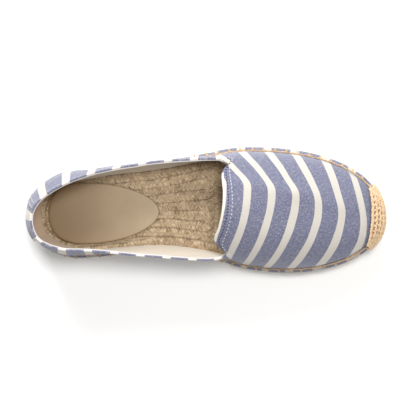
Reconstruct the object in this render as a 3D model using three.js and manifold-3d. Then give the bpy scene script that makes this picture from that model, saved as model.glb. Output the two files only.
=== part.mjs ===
// A left espadrille: a low slip-on with a coiled jute sole, a thin rubber outsole, a canvas upper
// sewn over the sole's shoulder, a thread-wrapped toe and a leather heel sock.
// Millimetres, +Z up. +X runs from heel to toe and +Y to the wearer's left, the lateral side.
// The origin is on the floor, under the middle of the shoe's bounding box.
import * as THREE from "three";
import Module from "manifold-3d";
import { mergeVertices } from "three/addons/utils/BufferGeometryUtils.js";

// ---- driving dimensions -------------------------------------------------------------------
const LENGTH = 250; // sole, heel to toe
const BALL_WIDTH = 87; // sole, at the ball
const HEEL_HEIGHT = 58; // floor to the back of the collar
const INSTEP_HEIGHT = 60; // floor to the middle of the throat
const WAIST_HEIGHT = 44; // floor to the lowest part of the collar
const FOOTBED_HEIGHT = 18; // floor to the top of the jute, in the flat part of the sole
const OUTSOLE_THICK = 2.7;
const WALL = 1.6; // canvas and lining together
const GAP = 0.3; // clearance between neighbouring pieces
const TOE_SPRING = 6; // lift of the toe tip
const HEEL_SPRING = 1.5; // lift of the very back edge
const WAIST_ARCH = 1.4; // lift of the underside between heel and ball
const OVERHANG = 3.4; // how far the sole stands out beyond the foot of the upper
const HEM_DROP = 9; // how far the canvas hem hangs down the sole's side
const WRAP_THICK = 2.3; // thread wrap on the toe
const WRAP_BACK = 114.6; // where the wrap's back edge crosses the middle of the shoe
const WRAP_BACK_RADIUS = 83; // of that edge, seen from above
const WRAP_DROP = 12.5; // how far the wrap reaches down below the footbed
const SOCK_THICK = 1.8; // heel sock

const STATIONS = 36; // sections from heel to toe
const WALL_RINGS = 9; // rings between the foot of the upper and its top edge

const HALF = BALL_WIDTH / 2;
const lerp = THREE.MathUtils.lerp;
const clamp = THREE.MathUtils.clamp;

// ---- outline of the sole ------------------------------------------------------------------
// Each side runs from a round heel through a few sections to a round toe. "along" is a share of
// the length from the heel, "out" a share of half the ball width from the centreline.
const HEEL_MID = -0.092; // where the heel's and the toe's round ends are centred, as shares
const TOE_MID = -0.161; // of half the ball width, to the lateral side
const LATERAL = {
  sign: 1,
  heelPower: 2.1,
  toePower: 2.3,
  rows: [
    { along: 0.14, out: 0.65 },
    { along: 0.26, out: 0.697 },
    { along: 0.38, out: 0.785 },
    { along: 0.5, out: 0.925 },
    { along: 0.615, out: 1.015 },
  ],
};
const MEDIAL = {
  sign: -1,
  heelPower: 2.1,
  toePower: 2.05,
  rows: [
    { along: 0.14, out: 0.791 },
    { along: 0.26, out: 0.736 },
    { along: 0.38, out: 0.694 },
    { along: 0.5, out: 0.786 },
    { along: 0.61, out: 0.955 },
    { along: 0.73, out: 1.025 },
  ],
};

// Cubic through the rows, by their key column, with the given slopes at the two ends.
function through(rows, key, value, at, endSlope = 0) {
  const last = rows.length - 1;
  const i = clamp(rows.findIndex((r) => r[key] > at) - 1, 0, last - 1);
  const slope = (j) =>
    j <= 0 || j >= last
      ? endSlope
      : (rows[j + 1][value] - rows[j - 1][value]) / (rows[j + 1][key] - rows[j - 1][key]);
  const [a, b] = [rows[i], rows[i + 1]];
  const step = b[key] - a[key];
  const u = clamp((at - a[key]) / step, 0, 1);
  const [u2, u3] = [u * u, u * u * u];
  return (
    (2 * u3 - 3 * u2 + 1) * a[value] +
    (u3 - 2 * u2 + u) * step * slope(i) +
    (3 * u2 - 2 * u3) * b[value] +
    (u3 - u2) * step * slope(i + 1)
  );
}

// Quarter of a superellipse: 1 at reach 0, falling to 0 at reach 1.
const roundEnd = (reach, power) => Math.pow(1 - Math.pow(clamp(reach, 0, 1), power), 1 / power);

// Y of one side's edge at a share of the length.
function edgeY(side, along) {
  const first = side.rows[0];
  const last = side.rows.at(-1);
  if (along < first.along) {
    const reach = (first.along - along) / first.along;
    const half = first.out - side.sign * HEEL_MID;
    return HALF * (HEEL_MID + side.sign * half * roundEnd(reach, side.heelPower));
  }
  if (along > last.along) {
    const reach = (along - last.along) / (1 - last.along);
    const half = last.out - side.sign * TOE_MID;
    return HALF * (TOE_MID + side.sign * half * roundEnd(reach, side.toePower));
  }
  return HALF * side.sign * through(side.rows, "along", "out", along);
}

// The outline as one loop: turn 0 is the heel's back, 1 the toe tip by the lateral side, and 2
// the heel again by the medial side.
const alongOf = (turn) => (1 - Math.cos(Math.PI * turn)) / 2;
const turnOf = (side, along) => {
  const t = Math.acos(1 - 2 * along) / Math.PI;
  return side === LATERAL ? t : 2 - t;
};

function edgePoint(turn) {
  const t = ((turn % 2) + 2) % 2;
  const along = alongOf(t);
  return new THREE.Vector2((along - 0.5) * LENGTH, edgeY(t <= 1 ? LATERAL : MEDIAL, along));
}

// The outline moved in by "inset", square to itself.
function insetPoint(turn, inset) {
  const step = 0.004;
  const run = edgePoint(turn + step).sub(edgePoint(turn - step)).normalize();
  return edgePoint(turn).add(new THREE.Vector2(run.y, -run.x).multiplyScalar(inset));
}

// How far the toe curls up from the floor at x, and how far the underside stands off it in all:
// the toe spring, the back of the heel and the waist.
const SPRING_FROM = 60;
const HEEL_SPRING_FROM = -92;
const ARCH_FROM = -48;
const ARCH_TO = 18;
const lift = (x) => TOE_SPRING * clamp((x - SPRING_FROM) / (LENGTH / 2 - SPRING_FROM), 0, 1) ** 2;
function floorLift(x) {
  const heel = clamp((HEEL_SPRING_FROM - x) / (HEEL_SPRING_FROM + LENGTH / 2), 0, 1);
  const waist = clamp((x - ARCH_FROM) / (ARCH_TO - ARCH_FROM), 0, 1);
  return lift(x) + HEEL_SPRING * heel ** 2 + WAIST_ARCH * Math.sin(Math.PI * waist) ** 2;
}

// ---- upper --------------------------------------------------------------------------------
// The canvas comes up the sole's side as a hem, turns in over its shoulder to a crease at the
// foot of the upper, and rises from there to the top edge. "inset" is measured in from the
// sole's outline and "rise" from the footbed.
const HEM_ROWS = [
  { inset: 0.5, rise: -HEM_DROP },
  { inset: 0.2, rise: -5.6 },
  { inset: 0.6, rise: -2.6 },
  { inset: 1.8, rise: -0.5 },
];
const HEM_FOOT = HEM_ROWS[0].inset;
const HEM_SIDE = HEM_ROWS[1].inset;
const CREASE = { inset: OVERHANG, rise: 0.7 };
const FILLED_CREASE = { inset: 2.4, rise: 1.5 };

// The top edge. "side" and "foot" say where on the sole's outline the canvas below this point
// starts; x, y and z are the edge's own place. "roof" is 0 where the canvas stands as a wall and 1
// where it arches over the foot, "shoulder" the height of the rounded part of that arch, and
// "bulge" how far a wall swells out half way up.
const TOP_EDGE = [
  { side: LATERAL, foot: 0, x: -118, y: -6, z: HEEL_HEIGHT, roof: 0, shoulder: 0, bulge: 2.4 },
  { side: LATERAL, foot: 0.03, x: -112.5, y: 7, z: 57.3, roof: 0, shoulder: 0, bulge: 2.4 },
  { side: LATERAL, foot: 0.1, x: -97.5, y: 17.3, z: 55, roof: 0, shoulder: 0, bulge: 2.2 },
  { side: LATERAL, foot: 0.2, x: -76, y: 25.4, z: 51.6, roof: 0, shoulder: 2, bulge: 1.6 },
  { side: LATERAL, foot: 0.34, x: -40, y: 32.6, z: 47.4, roof: 0.1, shoulder: 8, bulge: 1 },
  { side: LATERAL, foot: 0.46, x: -10, y: 35.3, z: 44.9, roof: 0.4, shoulder: 15, bulge: 0.6 },
  { side: LATERAL, foot: 0.53, x: 8, y: 35.9, z: WAIST_HEIGHT, roof: 0.65, shoulder: 19, bulge: 0.3 },
  { side: LATERAL, foot: 0.56, x: 11.8, y: 34.4, z: 45.2, roof: 0.78, shoulder: 20, bulge: 0.2 },
  { side: LATERAL, foot: 0.585, x: 15.9, y: 32, z: 46.8, roof: 0.86, shoulder: 21, bulge: 0.1 },
  { side: LATERAL, foot: 0.61, x: 12.9, y: 29.4, z: 49.4, roof: 0.91, shoulder: 21.5, bulge: 0 },
  { side: LATERAL, foot: 0.64, x: 11.2, y: 25.5, z: 51.7, roof: 0.95, shoulder: 22, bulge: 0 },
  { side: LATERAL, foot: 0.75, x: 12, y: 13.5, z: 57.4, roof: 1, shoulder: 20, bulge: 0 },
  { side: LATERAL, foot: 1, x: 11.3, y: 0, z: INSTEP_HEIGHT, roof: 1, shoulder: 11, bulge: 0 },
  { side: MEDIAL, foot: 0.75, x: 8.6, y: -12.5, z: 57, roof: 1, shoulder: 20, bulge: 0 },
  { side: MEDIAL, foot: 0.64, x: 6.2, y: -20.6, z: 52.6, roof: 0.95, shoulder: 22, bulge: 0 },
  { side: MEDIAL, foot: 0.61, x: 9.8, y: -25.2, z: 50, roof: 0.91, shoulder: 21.5, bulge: 0 },
  { side: MEDIAL, foot: 0.585, x: 14, y: -29.2, z: 47.2, roof: 0.86, shoulder: 21, bulge: 0.1 },
  { side: MEDIAL, foot: 0.56, x: 11.6, y: -32.2, z: 45.2, roof: 0.78, shoulder: 20, bulge: 0.2 },
  { side: MEDIAL, foot: 0.53, x: 5.5, y: -33.9, z: WAIST_HEIGHT, roof: 0.65, shoulder: 19, bulge: 0.3 },
  { side: MEDIAL, foot: 0.46, x: -12, y: -33.6, z: 44.9, roof: 0.4, shoulder: 15, bulge: 0.6 },
  { side: MEDIAL, foot: 0.34, x: -40, y: -31.6, z: 47.4, roof: 0.1, shoulder: 8, bulge: 1 },
  { side: MEDIAL, foot: 0.2, x: -75, y: -27.8, z: 51.6, roof: 0, shoulder: 2, bulge: 1.6 },
  { side: MEDIAL, foot: 0.1, x: -97, y: -26.4, z: 55, roof: 0, shoulder: 0, bulge: 2.2 },
  { side: MEDIAL, foot: 0.03, x: -112.5, y: -20, z: 57.3, roof: 0, shoulder: 0, bulge: 2.4 },
].map((row) => ({ ...row, turn: turnOf(row.side, row.foot) }));
const TOP_LOOP = [
  { ...TOP_EDGE.at(-1), turn: TOP_EDGE.at(-1).turn - 2 },
  ...TOP_EDGE,
  { ...TOP_EDGE[0], turn: 2 },
  { ...TOP_EDGE[1], turn: TOP_EDGE[1].turn + 2 },
];

function topEdge(turn) {
  const t = ((turn % 2) + 2) % 2;
  const row = {};
  for (const column of ["x", "y", "z", "roof", "shoulder", "bulge"])
    row[column] = through(TOP_LOOP, "turn", column, t);
  return row;
}

// Point of the canvas's outer face. "ring" counts the hem's rows, then the crease, then the rings
// up to the top edge. With "filled" the crease is bridged, as something wrapped over it would do.
const LAST_RING = HEM_ROWS.length + WALL_RINGS;
const ROUND_POWER = 1.6; // how early the arch's rounded part levels off, and how much earlier
const ROUND_REACH = 60; // still for each of these lengths that the canvas runs in over the foot
const ARCH_SPREAD = 1.7; // crowds the rings of an arch towards its foot, where it bends most
function canvasPoint(turn, ring, filled = false) {
  const hem = [...HEM_ROWS, filled ? FILLED_CREASE : CREASE];
  const crease = hem.at(-1);
  if (ring < HEM_ROWS.length) {
    const [low, high] = hem.slice(Math.floor(ring));
    const share = ring - Math.floor(ring);
    const p = insetPoint(turn, lerp(low.inset, high.inset, share));
    const rise = lerp(low.rise, high.rise, share);
    return new THREE.Vector3(p.x, p.y, FOOTBED_HEIGHT + lift(p.x) + rise);
  }
  const foot = insetPoint(turn, crease.inset);
  const footZ = FOOTBED_HEIGHT + lift(foot.x) + crease.rise;
  const up = (ring - HEM_ROWS.length) / WALL_RINGS;
  const top = topEdge(turn);
  const plan = Math.hypot(top.x - foot.x, top.y - foot.y);
  const power = ROUND_POWER + plan / ROUND_REACH;
  const inward = lerp(up, Math.pow(up, ARCH_SPREAD), top.roof);
  const rounded = Math.sqrt(1 - Math.pow(1 - inward, power));
  const climb = top.z - footZ;
  const arch = top.shoulder * rounded + (climb - top.shoulder) * inward;
  const p = new THREE.Vector3(
    lerp(foot.x, top.x, inward),
    lerp(foot.y, top.y, inward),
    footZ + lerp(climb * up, arch, top.roof),
  );
  const out = insetPoint(turn, 0).sub(insetPoint(turn, 1));
  const swell = top.bulge * Math.sin(Math.PI * up);
  return p.add(new THREE.Vector3(out.x * swell, out.y * swell, 0));
}

// The same point moved square to the face: outwards by a positive distance, inwards by a negative.
// The direction leans a little away from the middle of the foot, which keeps it steady where the
// top edge turns sharply.
const FOOT_MIDDLE = { from: -80, to: 90, y: -2, z: 24 };
const STEADY = 1;
function canvasOffset(turn, ring, distance, filled = false) {
  const step = 0.015;
  const at = canvasPoint(turn, ring, filled);
  const around = canvasPoint(turn + step, ring, filled).sub(canvasPoint(turn - step, ring, filled));
  const low = canvasPoint(turn, Math.max(ring - 0.4, 0), filled);
  const high = canvasPoint(turn, Math.min(ring + 0.4, LAST_RING), filled);
  const middleX = clamp(at.x, FOOT_MIDDLE.from, FOOT_MIDDLE.to);
  const away = at.clone().sub(new THREE.Vector3(middleX, FOOT_MIDDLE.y, FOOT_MIDDLE.z));
  const outward = high.sub(low).normalize().cross(around.normalize());
  return at.addScaledVector(outward.addScaledVector(away.normalize(), STEADY).normalize(), distance);
}

// ---- solids -------------------------------------------------------------------------------
// Stations stand on every row of the top edge, with more between them, alike on both sides.
const keys = TOP_EDGE.map((row) => row.turn).filter((turn) => turn <= 1);
const lateralTurns = keys.slice(1).flatMap((end, i) => {
  const count = Math.ceil((end - keys[i]) * STATIONS);
  return Array.from({ length: count }, (_, j) => lerp(keys[i], end, j / count));
});
const turns = [...lateralTurns, 1, ...lateralTurns.slice(1).reverse().map((turn) => 2 - turn)];
const ringOf = (place) => turns.map((turn) => place(turn));

// Closed body from loops of points that follow each other over its surface: "capped" ends are
// bridged straight across the shoe, or else the last loop joins the first again.
function bodyOf(loops, capped) {
  const n = loops[0].length;
  const position = loops.flat().flatMap((p) => [p.x, p.y, p.z]);
  const index = [];
  const spans = capped ? loops.length - 1 : loops.length;
  for (let j = 0; j < spans; j++)
    for (let i = 0; i < n; i++) {
      const [a, b] = [j * n + i, j * n + ((i + 1) % n)];
      const above = ((j + 1) % loops.length) * n;
      const [c, d] = [above + ((i + 1) % n), above + i];
      index.push(a, c, b, a, d, c);
    }
  const bridge = (base, up) => {
    for (let i = 0; i < n / 2; i++) {
      const [a, b] = [base + i, base + i + 1];
      const [c, d] = [base + n - i - 1, base + ((n - i) % n)];
      if (b !== c) index.push(...(up ? [a, c, b] : [a, b, c]));
      if (a !== d) index.push(...(up ? [a, d, c] : [a, c, d]));
    }
  };
  if (capped) {
    bridge(0, false);
    bridge((loops.length - 1) * n, true);
  }
  const geometry = new THREE.BufferGeometry();
  geometry.setAttribute("position", new THREE.Float32BufferAttribute(position, 3));
  geometry.setIndex(index);
  return geometry;
}

const RIM_RISE = 0.3; // rounding of the top edge, as a share of the wall
function upperGeometry() {
  const rings = Array.from({ length: LAST_RING + 1 }, (_, ring) => ring);
  const outer = rings.map((ring) => ringOf((turn) => canvasPoint(turn, ring)));
  const inner = rings.map((ring) => ringOf((turn) => canvasOffset(turn, ring, -WALL)));
  const rim = outer.at(-1).map((p, i) => {
    const middle = p.clone().add(inner.at(-1)[i]).multiplyScalar(0.5);
    return middle.add(new THREE.Vector3(0, 0, WALL * RIM_RISE));
  });
  return bodyOf([...outer, rim, ...inner.reverse()], false);
}

// The jute: a flat coil whose side swells a little below the canvas hem and whose top edge is
// drawn in under it.
const JUTE_SIDE = 0.9; // inset of its widest part
const JUTE_ROWS = [
  { inset: 1.9, rise: OUTSOLE_THICK + GAP - FOOTBED_HEIGHT, floor: true },
  { inset: JUTE_SIDE, rise: -12.6 },
  { inset: 1.1, rise: -HEM_DROP - GAP },
  { inset: HEM_FOOT + WALL + GAP, rise: -HEM_DROP - GAP + 0.1 },
  { inset: HEM_SIDE + WALL + GAP, rise: -5.6 },
  { inset: HEM_SIDE + 0.6 + WALL + GAP, rise: -3.3 },
  { inset: 4.2, rise: -1.9 },
  { inset: 7, rise: -1.2 },
  { inset: 8.6, rise: 0 },
];
const soleRing = (row) =>
  ringOf((turn) => {
    const p = insetPoint(turn, row.inset);
    const up = row.floor ? floorLift(p.x) : lift(p.x);
    return new THREE.Vector3(p.x, p.y, FOOTBED_HEIGHT + row.rise + up);
  });

// The outsole follows the jute's edge; its underside is flat under heel and ball.
const OUTSOLE_ROWS = [
  { inset: 2.6, rise: -FOOTBED_HEIGHT, floor: true },
  { inset: 1.6, rise: 0.8 - FOOTBED_HEIGHT, floor: true },
  { inset: 1.6, rise: OUTSOLE_THICK - FOOTBED_HEIGHT, floor: true },
];

// ---- toe wrap -----------------------------------------------------------------------------
// Threads sewn close together over the toe, as one shell over the canvas and the jute below it,
// thinner towards its two ends.
const WRAP_FROM = turnOf(LATERAL, 0.965);
const WRAP_TO = turnOf(MEDIAL, 0.955);
const WRAP_BACK_Y = -2; // where its back edge reaches furthest forward
const WRAP_COLUMNS = 26;
const WRAP_LAST_RING = HEM_ROWS.length + 5; // far enough up the canvas to be cut at the back edge
const WRAP_END = 0.3; // share of the thickness left at the ends
const BACK_FACETS = 160; // round the whole circle that the back edge is part of

function wrapGeometry(wasm) {
  const rows = [
    (turn, out) => {
      const p = insetPoint(turn, JUTE_SIDE - GAP - out);
      return new THREE.Vector3(p.x, p.y, FOOTBED_HEIGHT - WRAP_DROP + lift(p.x));
    },
  ];
  for (let ring = 0; ring <= WRAP_LAST_RING; ring += 0.5)
    rows.push((turn, out) => canvasOffset(turn, ring, GAP + out, true));
  const shares = Array.from({ length: WRAP_COLUMNS + 1 }, (_, i) => i / WRAP_COLUMNS);
  const thick = (share) => WRAP_THICK * lerp(WRAP_END, 1, Math.sqrt(Math.sin(Math.PI * share)));
  const loops = rows.map((row) => [
    ...shares.map((share) => row(lerp(WRAP_FROM, WRAP_TO, share), thick(share))),
    ...shares.map((share) => row(lerp(WRAP_FROM, WRAP_TO, share), 0)).reverse(),
  ]);
  const shell = solidOf(wasm, bodyOfStrip(loops));
  const radius = WRAP_BACK_RADIUS;
  const behind = new THREE.CylinderGeometry(radius, radius, 4 * HEEL_HEIGHT, BACK_FACETS);
  behind.rotateX(Math.PI / 2).translate(WRAP_BACK - radius, WRAP_BACK_Y, 0);
  return geometryOf(shell.subtract(solidOf(wasm, behind)));
}

// Closed body from loops that run round the section of a curved plate, one end to the other.
function bodyOfStrip(loops) {
  const n = loops[0].length;
  const position = loops.flat().flatMap((p) => [p.x, p.y, p.z]);
  const index = [];
  for (let j = 0; j + 1 < loops.length; j++)
    for (let i = 0; i < n; i++) {
      const [a, b] = [j * n + i, j * n + ((i + 1) % n)];
      index.push(a, b + n, b, a, a + n, b + n);
    }
  const cap = (base, last) => {
    for (let i = 0; i + 1 < n / 2; i++) {
      const [a, b, c, d] = [base + i, base + i + 1, base + n - i - 2, base + n - i - 1];
      index.push(...(last ? [a, c, b, a, d, c] : [a, b, c, a, c, d]));
    }
  };
  cap(0, false);
  cap((loops.length - 1) * n, true);
  const geometry = new THREE.BufferGeometry();
  geometry.setAttribute("position", new THREE.Float32BufferAttribute(position, 3));
  geometry.setIndex(index);
  return geometry;
}

function solidOf(wasm, geometry) {
  const bare = new THREE.BufferGeometry();
  bare.setAttribute("position", geometry.getAttribute("position"));
  bare.setIndex(geometry.index);
  const merged = mergeVertices(bare, 1e-4);
  return new wasm.Manifold(
    new wasm.Mesh({
      numProp: 3,
      vertProperties: merged.attributes.position.array,
      triVerts: new Uint32Array(merged.index.array),
    }),
  );
}

function geometryOf(solid) {
  const mesh = solid.getMesh();
  const geometry = new THREE.BufferGeometry();
  geometry.setAttribute("position", new THREE.BufferAttribute(mesh.vertProperties.slice(), 3));
  geometry.setIndex(new THREE.BufferAttribute(mesh.triVerts.slice(), 1));
  return geometry;
}

// ---- heel sock ----------------------------------------------------------------------------
// A leather pad on the back of the footbed: round at the heel and drawn out to a blunt tip.
const SOCK = { back: -111, widest: -86, tip: -33, lateral: 19, medial: -24, tipY: -1.5 };
const SOCK_BEVEL = 0.5;
function sockGeometry() {
  const outline = new THREE.Shape();
  const mid = (SOCK.lateral + SOCK.medial) / 2;
  const round = 0.56; // handle length that makes a quarter of an ellipse
  const blunt = 0.5; // how blunt the tip is, as a share of the half width there
  const [rear, fore] = [SOCK.widest - SOCK.back, SOCK.tip - SOCK.widest];
  outline.moveTo(SOCK.back, mid);
  for (const [edge, first] of [[SOCK.lateral, true], [SOCK.medial, false]]) {
    const half = edge - mid;
    const side = edge - SOCK.tipY;
    if (first) {
      outline.bezierCurveTo(
        SOCK.back, mid + half * round, SOCK.widest - rear * round, edge, SOCK.widest, edge,
      );
      outline.bezierCurveTo(
        SOCK.widest + fore * round, edge, SOCK.tip, SOCK.tipY + side * blunt, SOCK.tip, SOCK.tipY,
      );
    } else {
      outline.bezierCurveTo(
        SOCK.tip, SOCK.tipY + side * blunt, SOCK.widest + fore * round, edge, SOCK.widest, edge,
      );
      outline.bezierCurveTo(
        SOCK.widest - rear * round, edge, SOCK.back, mid + half * round, SOCK.back, mid,
      );
    }
  }
  const bevel = SOCK_BEVEL;
  const geometry = new THREE.ExtrudeGeometry(outline, {
    depth: SOCK_THICK - bevel,
    bevelEnabled: true,
    bevelThickness: bevel / 2,
    bevelSize: bevel,
    bevelOffset: -bevel,
    bevelSegments: 1,
    curveSegments: 12,
  });
  return geometry.translate(0, 0, FOOTBED_HEIGHT + GAP + bevel / 2);
}

// ---- assembly -----------------------------------------------------------------------------
const finish = (color, roughness) =>
  new THREE.MeshStandardMaterial({ color, roughness, metalness: 0 });
const wasm = await Module();
wasm.setup();

const espadrille = new THREE.Group();
const add = (name, geometry, material) => {
  const mesh = new THREE.Mesh(geometry, material);
  mesh.name = name;
  espadrille.add(mesh);
};
add("outsole", bodyOf(OUTSOLE_ROWS.map(soleRing), true), finish(0xc9a878, 0.8));
add("jute_sole", bodyOf(JUTE_ROWS.map(soleRing), true), finish(0xb39b78, 0.95));
add("upper", upperGeometry(), finish(0x7f86ad, 0.9));
add("toe_wrap", wrapGeometry(wasm), finish(0xe6c59a, 0.9));
add("heel_sock", sockGeometry(), finish(0xb9a384, 0.6));

// Stand the shoe on the origin, under the middle of its bounding box.
const box = new THREE.Box3().setFromObject(espadrille);
const middle = box.getCenter(new THREE.Vector3());
for (const mesh of espadrille.children) mesh.position.set(-middle.x, -middle.y, -box.min.z);

export default espadrille;
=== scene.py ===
"""A left espadrille: striped canvas over a coiled jute sole, with a thread-wrapped toe.

The CAD part gives the frame. Every soft piece is modelled again here, finer, from the same form:
the canvas quarters and vamp, the throat binding, the stitching, the toe wrap, the jute braid and
the heel sock. The rubber outsole stays as the CAD has it.
"""

import logging
import math
from bisect import bisect_right
from collections.abc import Callable, Iterable, Sequence
from dataclasses import dataclass, field, replace
from enum import Enum
from functools import lru_cache

import bmesh
import bpy
from mathutils import Matrix, Vector, noise

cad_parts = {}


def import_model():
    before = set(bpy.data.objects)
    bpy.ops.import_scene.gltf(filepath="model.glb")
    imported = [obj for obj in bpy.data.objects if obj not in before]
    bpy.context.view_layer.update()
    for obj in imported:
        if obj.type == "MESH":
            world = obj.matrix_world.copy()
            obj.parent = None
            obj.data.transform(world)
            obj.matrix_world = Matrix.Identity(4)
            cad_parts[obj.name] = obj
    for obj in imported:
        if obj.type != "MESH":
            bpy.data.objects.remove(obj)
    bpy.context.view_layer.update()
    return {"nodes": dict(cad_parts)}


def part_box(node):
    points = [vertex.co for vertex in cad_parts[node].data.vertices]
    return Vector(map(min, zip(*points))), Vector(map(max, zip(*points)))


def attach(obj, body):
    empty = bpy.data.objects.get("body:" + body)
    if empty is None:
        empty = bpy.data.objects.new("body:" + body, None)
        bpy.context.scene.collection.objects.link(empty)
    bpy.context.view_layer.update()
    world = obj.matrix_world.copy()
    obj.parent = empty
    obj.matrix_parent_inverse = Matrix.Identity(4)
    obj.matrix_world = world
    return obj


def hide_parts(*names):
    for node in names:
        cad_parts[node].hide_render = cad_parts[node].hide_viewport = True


LOG = logging.getLogger("espadrille")
MM = 0.001

UP = Vector((0.0, 0.0, 1.0))

Place = Callable[[float, float], Vector]
Pattern = Callable[[float, float], tuple[float, float]]


# ---- small helpers ----
def clamp(value: float, low: float, high: float) -> float:
    """Hold a value between two limits."""
    return max(low, min(high, value))


def lerp(low: float, high: float, share: float) -> float:
    """Mix two numbers."""
    return low + (high - low) * share


def smooth(low: float, high: float, value: float) -> float:
    """Soft step from 0 to 1."""
    share = clamp((value - low) / (high - low), 0.0, 1.0)
    return share * share * (3.0 - 2.0 * share)


def bell(away: float, width: float) -> float:
    """Soft bump: 1 in its middle, and near 0 at twice its width."""
    return math.exp(-((away / width) ** 2))


def spread(start: float, end: float, steps: int) -> list[float]:
    """Even steps from one number to another, with both ends."""
    return [lerp(start, end, i / steps) for i in range(steps + 1)]


def through(rows: Sequence, key: str, value: str, at: float) -> float:
    """Cubic through a table's rows, level at both ends.

    Args:
        rows: Table rows in rising order of the key column.
        key: Name of the key column.
        value: Name of the column to read.
        at: Key to read at.

    Returns:
        The value column at that key.
    """
    last = len(rows) - 1
    after = next((i for i, row in enumerate(rows) if getattr(row, key) > at), last)
    i = int(clamp(after - 1, 0, last - 1))

    def slope(j: int) -> float:
        """Slope at a row, from its neighbours."""
        if j <= 0 or j >= last:
            return 0.0
        before, behind = rows[j - 1], rows[j + 1]
        rise = getattr(behind, value) - getattr(before, value)
        return rise / (getattr(behind, key) - getattr(before, key))

    a, b = rows[i], rows[i + 1]
    step = getattr(b, key) - getattr(a, key)
    u = clamp((at - getattr(a, key)) / step, 0.0, 1.0)
    u2, u3 = u * u, u * u * u
    return (
        (2 * u3 - 3 * u2 + 1) * getattr(a, value)
        + (u3 - 2 * u2 + u) * step * slope(i)
        + (3 * u2 - 2 * u3) * getattr(b, value)
        + (u3 - u2) * step * slope(i + 1)
    )


# ---- the shoe's form, in millimetres ----
class Side(Enum):
    """Which side of the foot."""

    LATERAL = 1
    MEDIAL = -1


@dataclass(frozen=True)
class SideRow:
    """One section of the sole's outline: shares of its length and of half the ball width."""

    along: float
    out: float


@dataclass(frozen=True)
class SideShape:
    """One side of the sole's outline, from round heel to round toe."""

    side: Side
    heel_power: float
    toe_power: float
    rows: tuple[SideRow, ...]


@dataclass(frozen=True)
class HemRow:
    """A ring of the hem: in from the sole's outline, and up from the footbed."""

    inset: float
    rise: float


@dataclass(frozen=True)
class TopRow:
    """A point of the upper's top edge, over its turn, with the form of the canvas below it."""

    turn: float
    x: float
    y: float
    z: float
    roof: float = 0.0
    shoulder: float = 0.0
    bulge: float = 0.0


@dataclass(frozen=True)
class SoleSizes:
    """Driving sizes of the sole."""

    length: float = 250.0
    ball_width: float = 87.0
    footbed: float = 18.0
    toe_spring: float = 6.0
    spring_from: float = 60.0
    heel_mid: float = -0.092
    toe_mid: float = -0.161


def along_of(turn: float) -> float:
    """Share of the sole's length at a turn round it."""
    return (1.0 - math.cos(math.pi * turn)) / 2.0


def turn_of(side: Side, along: float) -> float:
    """Turn round the sole at a share of its length."""
    turn = math.acos(1.0 - 2.0 * along) / math.pi
    return turn if side is Side.LATERAL else 2.0 - turn


def round_end(reach: float, power: float) -> float:
    """Quarter of a superellipse."""
    return (1.0 - clamp(reach, 0.0, 1.0) ** power) ** (1.0 / power)


@dataclass(eq=False)
class SoleOutline:
    """The sole seen from above: one loop, and lines set in from it."""

    sizes: SoleSizes

    STEP = 0.004
    LATERAL = SideShape(
        Side.LATERAL,
        heel_power=2.1,
        toe_power=2.3,
        rows=(
            SideRow(along=0.14, out=0.65),
            SideRow(along=0.26, out=0.697),
            SideRow(along=0.38, out=0.785),
            SideRow(along=0.5, out=0.925),
            SideRow(along=0.615, out=1.015),
        ),
    )
    MEDIAL = SideShape(
        Side.MEDIAL,
        heel_power=2.1,
        toe_power=2.05,
        rows=(
            SideRow(along=0.14, out=0.791),
            SideRow(along=0.26, out=0.736),
            SideRow(along=0.38, out=0.694),
            SideRow(along=0.5, out=0.786),
            SideRow(along=0.61, out=0.955),
            SideRow(along=0.73, out=1.025),
        ),
    )

    def edge_y(self, shape: SideShape, along: float) -> float:
        """Y of one side's edge.

        Args:
            shape: The side.
            along: Share of the length.

        Returns:
            Y in millimetres.
        """
        half = self.sizes.ball_width / 2.0
        sign = float(shape.side.value)
        first, last = shape.rows[0], shape.rows[-1]
        if along < first.along:
            full = first.out - sign * self.sizes.heel_mid
            reach = (first.along - along) / first.along
            return half * (self.sizes.heel_mid + sign * full * round_end(reach, shape.heel_power))
        if along > last.along:
            full = last.out - sign * self.sizes.toe_mid
            reach = (along - last.along) / (1.0 - last.along)
            return half * (self.sizes.toe_mid + sign * full * round_end(reach, shape.toe_power))
        return half * sign * through(shape.rows, "along", "out", along)

    def edge(self, turn: float) -> Vector:
        """Point of the outline.

        Args:
            turn: Turn round the sole.

        Returns:
            X and Y in millimetres.
        """
        t = turn % 2.0
        along = along_of(t)
        shape = self.LATERAL if t <= 1.0 else self.MEDIAL
        return Vector(((along - 0.5) * self.sizes.length, self.edge_y(shape, along)))

    @lru_cache(maxsize=20000)
    def inward(self, turn: float) -> Vector:
        """Unit direction from the outline towards the middle of the sole."""
        run = (self.edge(turn + self.STEP) - self.edge(turn - self.STEP)).normalized()
        return Vector((run.y, -run.x))

    def inset(self, turn: float, inset: float) -> Vector:
        """Point of a line set in from the outline."""
        return self.edge(turn) + self.inward(turn) * inset

    def lift(self, x: float) -> float:
        """How far the toe curls up."""
        reach = self.sizes.length / 2.0 - self.sizes.spring_from
        return self.sizes.toe_spring * clamp((x - self.sizes.spring_from) / reach, 0.0, 1.0) ** 2


@dataclass(frozen=True)
class Crease:
    """A soft ridge, or a trough where the height is negative, between two points in plan."""

    start: tuple[float, float]
    end: tuple[float, float]
    width: float
    height: float

    def at(self, x: float, y: float) -> float:
        """Height of the crease at a point.

        Args:
            x: Place along the shoe.
            y: Place across it.

        Returns:
            Millimetres, outwards.
        """
        a, b = Vector(self.start), Vector(self.end)
        run = b - a
        share = clamp((Vector((x, y)) - a).dot(run) / run.length_squared, 0.0, 1.0)
        return self.height * bell((Vector((x, y)) - a - run * share).length, self.width)


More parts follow.
